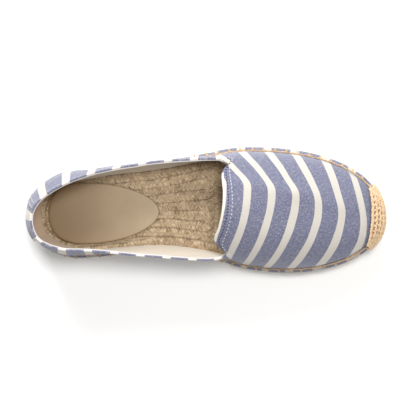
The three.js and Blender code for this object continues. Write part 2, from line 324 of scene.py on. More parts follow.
CREASES = (
    Crease(start=(20.0, 18.5), end=(62.0, 11.5), width=5.0, height=1.0),
    Crease(start=(62.0, 11.5), end=(96.0, 1.5), width=6.0, height=0.8),
    Crease(start=(24.0, 26.0), end=(70.0, 20.0), width=7.0, height=-0.6),
    Crease(start=(26.0, -2.0), end=(58.0, -9.0), width=8.0, height=-0.4),
    Crease(start=(84.0, -18.0), end=(102.0, -6.0), width=5.0, height=-0.35),
    Crease(start=(112.6, -14.0), end=(113.6, -2.0), width=2.4, height=-0.9),
    Crease(start=(113.6, -2.0), end=(112.4, 12.0), width=2.4, height=-0.9),
)


def top_row(side: Side, foot: float, **form: float) -> TopRow:
    """Row of the top edge whose foot stands at a share of the sole's length."""
    return TopRow(turn_of(side, foot), **form)


@dataclass(eq=False)
class CanvasForm:
    """The upper's surface, by turn round the sole and ring from the hem to the top edge."""

    outline: SoleOutline

    HEM = (
        HemRow(inset=0.5, rise=-9.0),
        HemRow(inset=0.2, rise=-5.6),
        HemRow(inset=0.6, rise=-2.6),
        HemRow(inset=1.8, rise=-0.5),
        HemRow(inset=3.4, rise=0.7),
    )
    TOP = (
        top_row(Side.LATERAL, foot=0, x=-118, y=-6, z=58, bulge=2.4),
        top_row(Side.LATERAL, foot=0.03, x=-112.5, y=7, z=57.3, bulge=2.4),
        top_row(Side.LATERAL, foot=0.1, x=-97.5, y=17.3, z=55, bulge=2.2),
        top_row(Side.LATERAL, foot=0.2, x=-76, y=25.4, z=51.6, shoulder=2, bulge=1.6),
        top_row(Side.LATERAL, foot=0.34, x=-40, y=32.6, z=47.4, roof=0.1, shoulder=8, bulge=1),
        top_row(Side.LATERAL, foot=0.46, x=-10, y=35.3, z=44.9, roof=0.4, shoulder=15, bulge=0.6),
        top_row(Side.LATERAL, foot=0.53, x=8, y=35.9, z=44, roof=0.65, shoulder=19, bulge=0.3),
        top_row(Side.LATERAL, foot=0.56, x=11.8, y=34.4, z=45.2, roof=0.78, shoulder=20, bulge=0.2),
        top_row(Side.LATERAL, foot=0.585, x=15.9, y=32, z=46.8, roof=0.86, shoulder=21, bulge=0.1),
        top_row(Side.LATERAL, foot=0.61, x=12.9, y=29.4, z=49.4, roof=0.91, shoulder=21.5),
        top_row(Side.LATERAL, foot=0.64, x=11.2, y=25.5, z=51.7, roof=0.95, shoulder=22),
        top_row(Side.LATERAL, foot=0.75, x=12, y=13.5, z=57.4, roof=1, shoulder=20),
        top_row(Side.LATERAL, foot=1, x=11.3, y=0, z=60, roof=1, shoulder=11),
        top_row(Side.MEDIAL, foot=0.75, x=8.6, y=-12.5, z=57, roof=1, shoulder=20),
        top_row(Side.MEDIAL, foot=0.64, x=6.2, y=-20.6, z=52.6, roof=0.95, shoulder=22),
        top_row(Side.MEDIAL, foot=0.61, x=9.8, y=-25.2, z=50, roof=0.91, shoulder=21.5),
        top_row(Side.MEDIAL, foot=0.585, x=14, y=-29.2, z=47.2, roof=0.86, shoulder=21, bulge=0.1),
        top_row(Side.MEDIAL, foot=0.56, x=11.6, y=-32.2, z=45.2, roof=0.78, shoulder=20, bulge=0.2),
        top_row(Side.MEDIAL, foot=0.53, x=5.5, y=-33.9, z=44, roof=0.65, shoulder=19, bulge=0.3),
        top_row(Side.MEDIAL, foot=0.46, x=-12, y=-33.6, z=44.9, roof=0.4, shoulder=15, bulge=0.6),
        top_row(Side.MEDIAL, foot=0.34, x=-40, y=-31.6, z=47.4, roof=0.1, shoulder=8, bulge=1),
        top_row(Side.MEDIAL, foot=0.2, x=-75, y=-27.8, z=51.6, shoulder=2, bulge=1.6),
        top_row(Side.MEDIAL, foot=0.1, x=-97, y=-26.4, z=55, bulge=2.2),
        top_row(Side.MEDIAL, foot=0.03, x=-112.5, y=-20, z=57.3, bulge=2.4),
    )
    COLUMNS = ("x", "y", "z", "roof", "shoulder", "bulge")
    WALL_RINGS = 9
    CREASE_RING = 4
    LAST_RING = 13
    ROUND_POWER = 1.6
    ROUND_REACH = 60.0
    STEADY = 1.0
    MIDDLE_FROM = -80.0
    MIDDLE_TO = 90.0
    MIDDLE = Vector((0.0, -2.0, 24.0))
    SLACK = 1.9
    SLACK_FADE = (-30.0, 12.0)
    UNEVEN = 0.8
    UNEVEN_SCALES = (0.028, 0.075)
    PUCKERS = 240.0
    PUCKER = 0.12
    SEAM_SINK = 0.9
    SEAM_AT = 0.4
    SEAM_WIDTH = 0.28

    def __post_init__(self) -> None:
        """Close the top edge's table into a loop."""
        self.loop = self._closed_loop()

    def _closed_loop(self) -> tuple[TopRow, ...]:
        """Repeat the table's ends on either side, so that it reads smoothly past the heel."""
        turned = lambda row, turns: replace(row, turn=row.turn + turns)
        return (turned(self.TOP[-1], -2.0), *self.TOP, *(turned(row, 2.0) for row in self.TOP[:2]))

    @lru_cache(maxsize=20000)
    def top(self, turn: float) -> TopRow:
        """The top edge at a turn."""
        t = turn % 2.0
        return TopRow(t, *(through(self.loop, "turn", name, t) for name in self.COLUMNS))

    def base(self, turn: float, ring: float) -> Vector:
        """Point of the canvas as the CAD has it.

        Args:
            turn: Turn round the sole.
            ring: 0 at the hem's edge, 4 at the crease, 13 at the top edge.

        Returns:
            The point in millimetres.
        """
        outline = self.outline
        floor = outline.sizes.footbed
        if ring < self.CREASE_RING:
            low, high = self.HEM[int(ring)], self.HEM[int(ring) + 1]
            share = ring - int(ring)
            p = outline.inset(turn, lerp(low.inset, high.inset, share))
            return Vector((p.x, p.y, floor + outline.lift(p.x) + lerp(low.rise, high.rise, share)))
        crease = self.HEM[-1]
        foot = outline.inset(turn, crease.inset)
        foot_z = floor + outline.lift(foot.x) + crease.rise
        up = (ring - self.CREASE_RING) / self.WALL_RINGS
        top = self.top(turn)
        plan = math.hypot(top.x - foot.x, top.y - foot.y)
        inward = clamp(lerp(up, up**1.7, top.roof), 0.0, 1.0)
        rounded = math.sqrt(1.0 - (1.0 - inward) ** (self.ROUND_POWER + plan / self.ROUND_REACH))
        climb = top.z - foot_z
        arch = top.shoulder * rounded + (climb - top.shoulder) * inward
        out = -outline.inward(turn)
        swell = top.bulge * math.sin(math.pi * up)
        return Vector(
            (
                lerp(foot.x, top.x, inward) + out.x * swell,
                lerp(foot.y, top.y, inward) + out.y * swell,
                foot_z + lerp(climb * up, arch, top.roof),
            )
        )

    @lru_cache(maxsize=200000)
    def normal(self, turn: float, ring: float) -> Vector:
        """Outward direction of the canvas, leaning a little away from the foot's middle.

        Args:
            turn: Turn round the sole.
            ring: Ring from the hem.

        Returns:
            A unit vector.
        """
        step = 0.015
        at = self.base(turn, ring)
        around = self.base(turn + step, ring) - self.base(turn - step, ring)
        above, below = min(ring + 0.4, self.LAST_RING), max(ring - 0.4, 0.0)
        upward = self.base(turn, above) - self.base(turn, below)
        middle = self.MIDDLE.copy()
        middle.x = clamp(at.x, self.MIDDLE_FROM, self.MIDDLE_TO)
        square = upward.normalized().cross(around.normalized())
        return (square + (at - middle).normalized() * self.STEADY).normalized()

    def relief(self, turn: float, ring: float, at: Vector) -> float:
        """Creases, stitch puckers and the soft unevenness of cloth.

        Args:
            turn: Turn round the sole.
            ring: Ring from the hem.
            at: The point.

        Returns:
            Millimetres, outwards.
        """
        if ring < self.CREASE_RING:
            return 0.0
        past = ring - self.CREASE_RING
        up = past / self.WALL_RINGS
        slack = 0.0
        if turn % 2.0 < 1.0 or turn % 2.0 > 1.9:
            behind = 1.0 - smooth(*self.SLACK_FADE, at.x)
            slack = behind * self.SLACK * math.sin(math.pi * clamp(up, 0.0, 1.0) ** 0.75)
        fade = smooth(self.CREASE_RING + 0.5, self.CREASE_RING + 3.0, ring)
        creases = sum(crease.at(at.x, at.y) for crease in CREASES) * fade
        broad, fine = self.UNEVEN_SCALES
        uneven = noise.noise(at * broad) * 0.7 + noise.noise(at * fine) * 0.3
        pucker = math.cos(turn * self.PUCKERS) * self.PUCKER * (1.0 - smooth(0.3, 1.8, past))
        pucker -= self.SEAM_SINK * bell(past - self.SEAM_AT, self.SEAM_WIDTH)
        return creases + uneven * fade * self.UNEVEN + pucker + slack

    def point(self, turn: float, ring: float, out: float) -> Vector:
        """Point of the finished canvas, moved outwards."""
        key = (round(turn, 7), round(ring, 6))
        at = self.base(*key)
        return at + self.normal(*key) * (out + self.relief(turn, ring, at))

    def line(self, marks: Sequence[tuple[float, float, float]]) -> "Path":
        """Path over the canvas, by the turn, ring and distance outwards of each of its points."""
        outward = [self.normal(turn, ring) for turn, ring, _ in marks]
        return Path([self.point(*mark) for mark in marks], outward)

    def ring_below_top(self, turn: float, distance: float) -> float:
        """Ring that lies a distance below the top edge.

        Args:
            turn: Turn round the sole.
            distance: Millimetres down along the canvas.

        Returns:
            The ring.
        """
        step = 0.1
        ring = float(self.LAST_RING)
        while distance > 0.0 and ring > self.CREASE_RING:
            span = (self.base(turn, ring) - self.base(turn, ring - step)).length
            ring -= step * min(1.0, distance / span)
            distance -= span
        return ring


def new_object(name: str, data: bpy.types.ID) -> bpy.types.Object:
    """Put a new object with a mesh, curve, light or camera in the scene."""
    thing = bpy.data.objects.new(name, data)
    bpy.context.scene.collection.objects.link(thing)
    return thing


# ---- building pieces ----
@dataclass(eq=False)
class Workshop:
    """Turns forms in the part's own millimetres into Blender pieces that ride on the shoe.

    The middle is the frame's origin, in the form's millimetres.
    """

    middle: Vector

    def world(self, at: Vector) -> Vector:
        """Place a point of the form in the frame."""
        return (at - self.middle) * MM

    def finish_piece(
        self, name: str, mesh: bpy.types.Mesh, materials: Sequence
    ) -> bpy.types.Object:
        """Link a mesh as a smooth-shaded piece of the shoe.

        Args:
            name: Name of the piece.
            mesh: Its mesh, in metres.
            materials: Its materials, in slot order.

        Returns:
            The new object.
        """
        for material in materials:
            mesh.materials.append(material)
        mesh.polygons.foreach_set("use_smooth", [True] * len(mesh.polygons))
        piece = new_object(name, mesh)
        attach(piece, "root")
        LOG.info("%s: %d faces", name, len(mesh.polygons))
        return piece

    def net(
        self,
        name: str,
        columns: int,
        rows: int,
        place: Place,
        fabric: Pattern,
        materials: Sequence,
        slot_of: Callable[[float, float], int] = lambda s, t: 0,
        fill: bool = False,
        depth: Callable[[float, float], float] | None = None,
    ) -> bpy.types.Object:
        """Lay a grid of faces on a form. Edges that meet are welded.

        Args:
            name: Name of the piece.
            columns: Faces along it.
            rows: Faces across it.
            place: Point in millimetres for two shares from 0 to 1.
            fabric: Pattern coordinates in millimetres for the same shares.
            materials: Materials in slot order.
            slot_of: Material slot at a face's middle, by the same shares.
            fill: Close what openings are left.
            depth: Painted shade where it lies in a fold, from 0 to 1, by the same shares.

        Returns:
            The new object.
        """
        bm = bmesh.new()
        bmesh.ops.create_grid(bm, x_segments=columns, y_segments=rows, size=1.0)
        uv = bm.loops.layers.uv.new("fabric")
        # The fold layer carries painted shade, from 0 to 1.
        fold = bm.loops.layers.uv.new("fold")
        shares = {v: ((v.co.x + 1.0) / 2.0, (v.co.y + 1.0) / 2.0) for v in bm.verts}
        for face in bm.faces:
            middle = (sum(shares[v][axis] for v in face.verts) / 4.0 for axis in (0, 1))
            face.material_index = slot_of(*middle)
            for loop in face.loops:
                loop[uv].uv = fabric(*shares[loop.vert])
                if depth:
                    loop[fold].uv = (depth(*shares[loop.vert]), 0.0)
        for v, (s, t) in shares.items():
            v.co = self.world(place(s, t))
        bmesh.ops.remove_doubles(bm, verts=bm.verts, dist=0.02 * MM)
        if fill:
            edges = [e for e in bm.edges if e.is_boundary]
            bmesh.ops.holes_fill(bm, edges=edges, sides=0)
        bmesh.ops.recalc_face_normals(bm, faces=bm.faces)
        mesh = bpy.data.meshes.new(name)
        bm.to_mesh(mesh)
        bm.free()
        return self.finish_piece(name, mesh, materials)


class Path:
    """A line of points with an outward direction at each, read by distance."""

    def __init__(self, points: Iterable[Vector], outward: Iterable[Vector] | None = None) -> None:
        """Measure the line.

        Args:
            points: Points in millimetres.
            outward: Direction away from the surface at each point; straight up if left out.
        """
        self.points = list(points)
        self.outward = list(outward or [UP] * len(self.points))
        self.marks = [0.0]
        for a, b in zip(self.points, self.points[1:]):
            self.marks.append(self.marks[-1] + (b - a).length)

    @property
    def length(self) -> float:
        """Length of the line in millimetres."""
        return self.marks[-1]

    def at(self, distance: float) -> tuple[Vector, Vector]:
        """Read the line.

        Args:
            distance: Millimetres from its start.

        Returns:
            The point and its outward direction.
        """
        d = clamp(distance, 0.0, self.length)
        high = int(clamp(bisect_right(self.marks, d), 1, len(self.marks) - 1))
        low = high - 1
        span = self.marks[high] - self.marks[low]
        share = (d - self.marks[low]) / span if span else 0.0
        return (
            self.points[low].lerp(self.points[high], share),
            self.outward[low].lerp(self.outward[high], share).normalized(),
        )

    def nearest(self, mark: float) -> int:
        """Index of the point nearest to a distance from the start."""
        return min(range(len(self.marks)), key=lambda i: abs(self.marks[i] - mark))

    def run(self, distance: float) -> Vector:
        """Direction of the line."""
        step = min(0.4, self.length / 4.0)
        d = clamp(distance, step, self.length - step)
        return (self.at(d + step)[0] - self.at(d - step)[0]).normalized()


@dataclass(frozen=True)
class Yarn:
    """A twisted thread."""

    plies: int
    ply_radius: float
    lay_radius: float
    lay_length: float
    step: float


SEWING_YARN = Yarn(plies=2, ply_radius=0.44, lay_radius=0.33, lay_length=3.6, step=0.6)
WRAP_YARN = Yarn(plies=2, ply_radius=0.6, lay_radius=0.46, lay_length=4.4, step=0.7)
TAPE_CORD = Yarn(plies=1, ply_radius=0.5, lay_radius=0.0, lay_length=3.0, step=1.0)


@dataclass(eq=False)
class YarnWork:
    """Collects lengths of twisted yarn into one piece."""

    shop: Workshop
    name: str
    count: int = 0

    def __post_init__(self) -> None:
        """Start an empty skein."""
        self.curve = bpy.data.curves.new(self.name, "CURVE")
        self.curve.dimensions = "3D"
        self.curve.bevel_depth = MM
        self.curve.bevel_resolution = 1
        self.curve.use_fill_caps = True

    def lay(self, path: Path, yarn: Yarn) -> None:
        """Lay one length of yarn along a path.

        Args:
            path: The path.
            yarn: The yarn.
        """
        steps = max(4, int(path.length / yarn.step))
        phase = self.count * 2.4
        for ply in range(yarn.plies):
            spline = self.curve.splines.new("POLY")
            spline.points.add(steps)
            for i, knot in enumerate(spline.points):
                d = path.length * i / steps
                at, out = path.at(d)
                run = path.run(d)
                across = run.cross(out).normalized()
                angle = phase + math.tau * (d / yarn.lay_length + ply / yarn.plies)
                aside = across * math.cos(angle) + out * math.sin(angle)
                co = self.shop.world(at + aside * yarn.lay_radius)
                knot.co = (co.x, co.y, co.z, 1.0)
                knot.radius = yarn.ply_radius
        self.count += 1

    def done(self, materials: Sequence) -> bpy.types.Object:
        """Turn the skein into a mesh piece.

        Args:
            materials: Its materials.

        Returns:
            The new object.
        """
        holder = new_object(self.name, self.curve)
        graph = bpy.context.evaluated_depsgraph_get()
        mesh = bpy.data.meshes.new_from_object(holder.evaluated_get(graph))
        mesh.materials.clear()
        bpy.data.objects.remove(holder)
        bpy.data.curves.remove(self.curve)
        mesh.name = self.name
        return self.shop.finish_piece(self.name, mesh, materials)


@dataclass(frozen=True)
class Bead:
    """One machine stitch in millimetres, and the pitch from stitch to stitch."""

    pitch: float
    length: float
    width: float
    height: float


@dataclass(eq=False)
class StitchRow:
    """A row of short machine stitches, each a flattened bead."""

    shop: Workshop
    name: str
    bm: bmesh.types.BMesh = field(default_factory=bmesh.new)

    def sew(self, path: Path, bead: Bead) -> None:
        """Sew along a path.

        Args:
            path: The path.
            bead: Size and pitch of the stitches.
        """
        count = max(1, int(path.length / bead.pitch))
        for i in range(count):
            d = (i + 0.5) * path.length / count
            at, out = path.at(d)
            run = path.run(d)
            across = out.cross(run).normalized()
            out = run.cross(across)
            turn = Matrix((run, across, out)).transposed().to_4x4()
            size = Matrix.Diagonal((bead.length, bead.width, bead.height, 1.0)) * (MM / 2.0)
            size[3][3] = 1.0
            matrix = Matrix.Translation(self.shop.world(at)) @ turn @ size
            bmesh.ops.create_uvsphere(self.bm, u_segments=8, v_segments=5, radius=1, matrix=matrix)

    def done(self, materials: Sequence) -> bpy.types.Object:
        """Turn the row into a piece.

        Args:
            materials: Its materials.

        Returns:
            The new object.
        """
        mesh = bpy.data.meshes.new(self.name)
        self.bm.to_mesh(mesh)
        self.bm.free()
        return self.shop.finish_piece(self.name, mesh, materials)


# ---- materials ----
Colour = tuple[float, float, float]
Socket = bpy.types.NodeSocket


def darker(colour: Colour, share: float) -> Colour:
    """A share of a colour."""
    return tuple(channel * share for channel in colour)


@dataclass(frozen=True)
class Tree:
    """A material's or group's node tree, built a node at a time."""

    tree: bpy.types.NodeTree

    def add(self, kind: str, settings: dict | None = None, **inputs: object) -> bpy.types.Node:
        """Add a node.

        Args:
            kind: Blender's name for the node type.
            settings: The node's own settings.
            **inputs: Its inputs by name, with _ for a space; a socket is linked, a value is set.

        Returns:
            The node.
        """
        node = self.tree.nodes.new(kind)
        for key, value in (settings or {}).items():
            setattr(node, key, value)
        for key, value in inputs.items():
            self.feed(node.inputs[key.replace("_", " ")], value)
        return node

    def feed(self, socket: Socket, value: object) -> None:
        """Link or set an input.

        Args:
            socket: The input.
            value: Another node's output, or a plain value.
        """
        if isinstance(value, Socket):
            self.tree.links.new(value, socket)
        elif isinstance(value, tuple) and len(value) == 3 and socket.type == "RGBA":
            socket.default_value = (*value, 1.0)
        else:
            socket.default_value = value

    def math(self, operation: str, *values: object) -> Socket:
        """Add a Math node.

        Args:
            operation: What it does.
            *values: Its inputs, in order.

        Returns:
            Its output.
        """
        node = self.add("ShaderNodeMath", {"operation": operation})
        for socket, value in zip(node.inputs, values):
            self.feed(socket, value)
        return node.outputs[0]

    def times(self, value: object, factor: object) -> Socket:
        """Product of two values."""
        return self.math("MULTIPLY", value, factor)

    def plus(self, value: object, more: object) -> Socket:
        """Sum of two values."""
        return self.math("ADD", value, more)

    def mix(self, share: object, low: object, high: object) -> Socket:
        """Mix two colours.

        Args:
            share: Factor.
            low: Colour at 0.
            high: Colour at 1.

        Returns:
            The mixed colour.
        """
        node = self.add("ShaderNodeMix", {"data_type": "RGBA"})
        for index, value in ((0, share), (6, low), (7, high)):
            self.feed(node.inputs[index], value)
        return node.outputs[2]

    def noise(self, at: object, scale: float, detail: float) -> Socket:
        """Factor of a Noise Texture."""
        return self.add("ShaderNodeTexNoise", Vector=at, Scale=scale, Detail=detail).outputs["Fac"]

    def ramp(self, value: object, low: float, high: float) -> Socket:
        """Soft step of a value, from 0 at the low mark to 1 at the high one."""
        kind = {"interpolation_type": "SMOOTHSTEP"}
        inputs = {"Value": value, "From_Min": low, "From_Max": high}
        return self.add("ShaderNodeMapRange", kind, **inputs).outputs[0]

    def stretched(self, at: object, *scale: float) -> Socket:
        """Scale coordinates axis by axis."""
        node = self.add("ShaderNodeVectorMath", {"operation": "MULTIPLY"}, Vector=at)
        self.feed(node.inputs[1], scale)
        return node.outputs[0]

    def axis(self, at: object, name: str) -> Socket:
        """One axis of some coordinates."""
        return self.add("ShaderNodeSeparateXYZ", Vector=at).outputs[name]

    def uv(self, layer: str) -> Socket:
        """Coordinates of a UV layer."""
        return self.add("ShaderNodeUVMap", {"uv_map": layer}).outputs[0]

    def place(self) -> Socket:
        """The piece's own coordinates, in metres."""
        return self.add("ShaderNodeTexCoord").outputs["Object"]

    def shared(self, group: bpy.types.NodeTree, **inputs: object) -> object:
        """Outputs of a shared effect."""
        return self.add("ShaderNodeGroup", {"node_tree": group}, **inputs).outputs


class Effects:
    """Shader groups that several finishes share."""

    CROSSING = (-0.35, 0.35)
    WARP_STREAK = (1.9, 0.13)
    WEFT_STREAK = (0.11, 1.7)
    FLECKS = ((1.5, 0.5), (0.42, 1.35))
    FLECK_RAMP = (0.45, 0.66)
    STRAND = (0.35, 2.4, 2.4)
    HAIR = (0.8, 6.5, 6.5)

    def __init__(self) -> None:
        """Build the groups."""
        self.weave = self._weave()
        self.fibre = self._fibre()

    @staticmethod
    def _group(
        name: str, inputs: dict[str, float | None], outputs: Sequence[str]
    ) -> tuple[Tree, bpy.types.Node, bpy.types.Node]:
        """Start a group with named sockets.

        Args:
            name: Name of the group.
            inputs: Default of each input by name, or None for coordinates.
            outputs: Names of its outputs, all of them numbers.

        Returns:
            The group's tree, its input node and its output node.
        """
        group = bpy.data.node_groups.new(name, "ShaderNodeTree")
        for key, default in inputs.items():
            kind = "NodeSocketVector" if default is None else "NodeSocketFloat"
            socket = group.interface.new_socket(key, in_out="INPUT", socket_type=kind)
            if default is not None:
                socket.default_value = default
        for key in outputs:
            group.interface.new_socket(key, in_out="OUTPUT", socket_type="NodeSocketFloat")
        tree = Tree(group)
        return tree, tree.add("NodeGroupInput"), tree.add("NodeGroupOutput")

    def _weave(self) -> bpy.types.NodeTree:
        """Plain weave on flat pattern coordinates in millimetres.

        Returns:
            The group: which yarn is on top, its height, slubs along both yarns, and pale flecks.
        """
        names = ("Warp on top", "Height", "Slub", "Fleck")
        tree, into, out = self._group("plain weave", {"Fabric": None, "Yarn mm": 0.6}, names)
        fabric = into.outputs["Fabric"]

        def streaks(run: tuple[float, float], detail: float) -> Socket:
            """Noise drawn out along one yarn."""
            return tree.noise(tree.stretched(fabric, *run, 0.0), 1.0, detail)

        yarn = into.outputs["Yarn mm"]
        counts = [tree.math("DIVIDE", tree.axis(fabric, name), yarn) for name in "XY"]
        both = tree.times(*(tree.math("SINE", tree.times(count, math.pi)) for count in counts))
        top = tree.ramp(both, *self.CROSSING)
        warp = tree.times(streaks(self.WARP_STREAK, 3.0), top)
        weft = tree.times(streaks(self.WEFT_STREAK, 3.0), tree.math("SUBTRACT", 1.0, top))
        pale = [tree.ramp(streaks(run, 4.0), *self.FLECK_RAMP) for run in self.FLECKS]
        fleck = tree.plus(*(tree.times(one, 0.5) for one in pale))
        results = (top, tree.math("ABSOLUTE", both), tree.plus(warp, weft), fleck)
        for name, value in zip(names, results):
            tree.feed(out.inputs[name], value)
        return tree.tree

    def _fibre(self) -> bpy.types.NodeTree:
        """Loose dry fibres that run along the first axis given.

        Returns:
            The group: a tone and a height.
        """
        inputs = {"Lay": None, "Fineness": 1.0}
        tree, into, out = self._group("dry fibre", inputs, ("Tone", "Height"))
        scaled = tree.add("ShaderNodeVectorMath", {"operation": "SCALE"})
        tree.feed(scaled.inputs[0], into.outputs["Lay"])
        tree.feed(scaled.inputs["Scale"], into.outputs["Fineness"])
        lay = scaled.outputs[0]
        coarse = tree.noise(lay, 0.45, 2.0)
        strands = tree.noise(tree.stretched(lay, *self.STRAND), 1.0, 4.0)
        hairs = tree.noise(tree.stretched(lay, *self.HAIR), 1.0, 2.0)
        tone = tree.plus(tree.times(coarse, 0.35), tree.times(strands, 0.65))
        tree.feed(out.inputs["Tone"], tone)
        height = tree.plus(tree.times(strands, 0.6), tree.times(hairs, 0.4))
        tree.feed(out.inputs["Height"], height)
        return tree.tree


def new_material(name: str) -> tuple[bpy.types.Material, Tree, bpy.types.Node]:
    """Start a material with a Principled shader.

    Args:
        name: Name of the material.

    Returns:
        The material, its tree and its Principled node.
    """
    material = bpy.data.materials.new(name)
    material.use_nodes = True
    material.node_tree.nodes.clear()
    tree = Tree(material.node_tree)
    shader = tree.add("ShaderNodeBsdfPrincipled")
    tree.add("ShaderNodeOutputMaterial", Surface=shader.outputs[0])
    return material, tree, shader


@dataclass(frozen=True)
class Look:
    """What a finish feeds to its shader. The relief's depth is in millimetres."""

    colour: Socket
    roughness: float
    sheen: float = 0.0
    height: Socket | None = None
    strength: float = 0.5
    relief: float = 0.0


@dataclass(frozen=True)
class Finish:
    """A finish, painted by each kind in its own way."""

    name: str

    def paint(self, tree: Tree, effects: Effects) -> Look:
        """Lay out the nodes, from the shared effects where they serve."""
        raise NotImplementedError

    def build(self, effects: Effects) -> bpy.types.Material:
        """Build the material.

        Args:
            effects: The shared groups.

        Returns:
            The material.
        """
        material, tree, shader = new_material(self.name)
        look = self.paint(tree, effects)
        tree.feed(shader.inputs["Base Color"], look.colour)
        shader.inputs["Roughness"].default_value = look.roughness
        shader.inputs["Sheen Weight"].default_value = look.sheen
        if look.height:
            size = {"Strength": look.strength, "Distance": look.relief * MM}
            bump = tree.add("ShaderNodeBump", Height=look.height, **size)
            tree.feed(shader.inputs["Normal"], bump.outputs[0])
        return material


@dataclass(frozen=True)
class ClothFinish(Finish):
    """Plain-woven cotton: two yarn colours, and stripes of a third across the warp.

    It carries painted shade in the weave's hollows and in folds, and it can carry painted shade
    that browns it towards the back of the shoe.
    """

    warp: Colour
    weft: Colour
    stripe: Colour
    stripe_weft: Colour
    repeat: float = 17.0
    stripe_width: float = 5.4
    yarn: float = 0.55
    bump: float = 0.12
    roughness: float = 0.9
    stripe_edge: float = 0.012
    slub: float = 0.1
    fleck: float = 0.46
    # Painted shade: how much the weave's hollows and the folds darken, and the share of the warp
    # colour they darken to.
    hollow_shade: float = 0.25
    hollow_shade_tone: float = 0.35
    fold: float = 0.85
    fold_shade_tone: float = 0.3
    sheen: float = 0.3
    # Painted shade that browns the cloth towards the back of the shoe, and its colour.
    heel_shade: float = 0.0
    heel_shade_colour: Colour = (0.5, 0.32, 0.18)

    def paint(self, tree: Tree, effects: Effects) -> Look:
        """Weave the yarns, then shade the hollows and the folds."""
        fabric = tree.uv("fabric")
        weave = tree.shared(effects.weave, Fabric=fabric, Yarn_mm=self.yarn)
        turn = tree.math("DIVIDE", tree.axis(fabric, "X"), self.repeat)
        near = tree.math("ABSOLUTE", tree.math("SUBTRACT", turn, tree.math("ROUND", turn)))
        edge = self.stripe_width / 2.0 / self.repeat
        striped = tree.ramp(near, edge + self.stripe_edge, edge - self.stripe_edge)
        warp = tree.mix(striped, self.warp, self.stripe)
        weft = tree.mix(striped, self.weft, self.stripe_weft)
        yarn = tree.mix(weave["Warp on top"], weft, warp)
        slub = tree.times(tree.ramp(weave["Slub"], 0.36, 0.66), self.slub)
        pale = tree.math("MAXIMUM", slub, tree.times(weave["Fleck"], self.fleck))
        colour = tree.mix(pale, yarn, self.stripe)
        # Painted shade in the weave's hollows.
        hollow_shade = tree.math("POWER", tree.math("SUBTRACT", 1.0, weave["Height"]), 3.0)
        shade = tree.times(hollow_shade, self.hollow_shade)
        colour = tree.mix(shade, colour, darker(self.warp, self.hollow_shade_tone))
        # Painted shade from the fold layer.
        fold_shade = tree.times(tree.axis(tree.uv("fold"), "X"), self.fold)
        colour = tree.mix(fold_shade, colour, darker(self.warp, self.fold_shade_tone))
        # Painted shade, browned, towards the back of the shoe.
        if self.heel_shade:
            wear_and_shade = tree.times(tree.ramp(tree.axis(tree.place(), "X"), -0.072, -0.108), self.heel_shade)
            colour = tree.mix(wear_and_shade, colour, self.heel_shade_colour)
        height = tree.plus(weave["Height"], weave["Slub"])
        return Look(colour, self.roughness, self.sheen, height, relief=self.bump)


@dataclass(frozen=True)
class FibreFinish(Finish):
    """Jute or thread: tones of dry fibre, with painted shade in its gaps and folds."""

    dark: Colour
    light: Colour
    gap: Colour
    fineness: float
    bump: float
    on_fabric: bool = False
    roughness: float = 0.95
    # Painted shade: how much the fibre's low parts and the folds darken.
    hollow_shade: float = 0.7
    fold: float = 0.8
    sheen: float = 0.1

    def paint(self, tree: Tree, effects: Effects) -> Look:
        """Lay the fibres along the piece's pattern, or along its own axes."""
        lay = tree.uv("fabric") if self.on_fabric else tree.stretched(tree.place(), *[1.0 / MM] * 3)
        fibre = tree.shared(effects.fibre, Lay=lay, Fineness=self.fineness)
        colour = tree.mix(tree.ramp(fibre["Tone"], 0.34, 0.66), self.dark, self.light)
        # Painted shade in the fibre's low parts.
        deep = tree.times(tree.ramp(fibre["Height"], 0.45, 0.33), self.hollow_shade)
        colour = tree.mix(deep, colour, self.gap)
        if self.on_fabric:
            # Painted shade from the fold layer.
            fold_shade = tree.times(tree.axis(tree.uv("fold"), "X"), self.fold)
            colour = tree.mix(fold_shade, colour, self.gap)
        return Look(colour, self.roughness, self.sheen, fibre["Height"], 0.6, self.bump)


@dataclass(frozen=True)
class LeatherFinish(Finish):
    """Matt leather with a fine grain, faint wear, and painted shade that darkens its back."""

    colour: Colour
    wear_and_shade: Colour
    heel_end_shade: Colour
    roughness: float = 0.55

    def paint(self, tree: Tree, effects: Effects) -> Look:
        """Tint broadly, paint shade towards the back, tint by wear, and raise the grain."""
        place = tree.place()
        fine = tree.noise(place, 900.0, 3.0)
        pores = tree.add("ShaderNodeTexVoronoi", Vector=place, Scale=1400.0).outputs["Distance"]
        broad = tree.ramp(tree.noise(place, 38.0, 3.0), 0.35, 0.7)
        colour = tree.mix(broad, self.colour, self.wear_and_shade)
        # Painted shade, darker towards the back of the sock.
        colour = tree.mix(tree.ramp(tree.axis(place, "X"), -0.03, -0.112), colour, self.heel_end_shade)
        colour = tree.mix(tree.times(tree.ramp(fine, 0.55, 0.75), 0.12), colour, self.wear_and_shade)
        grain = tree.plus(tree.times(pores, 0.6), tree.times(fine, 0.4))
        return Look(colour, self.roughness, height=grain, strength=0.25, relief=0.12)


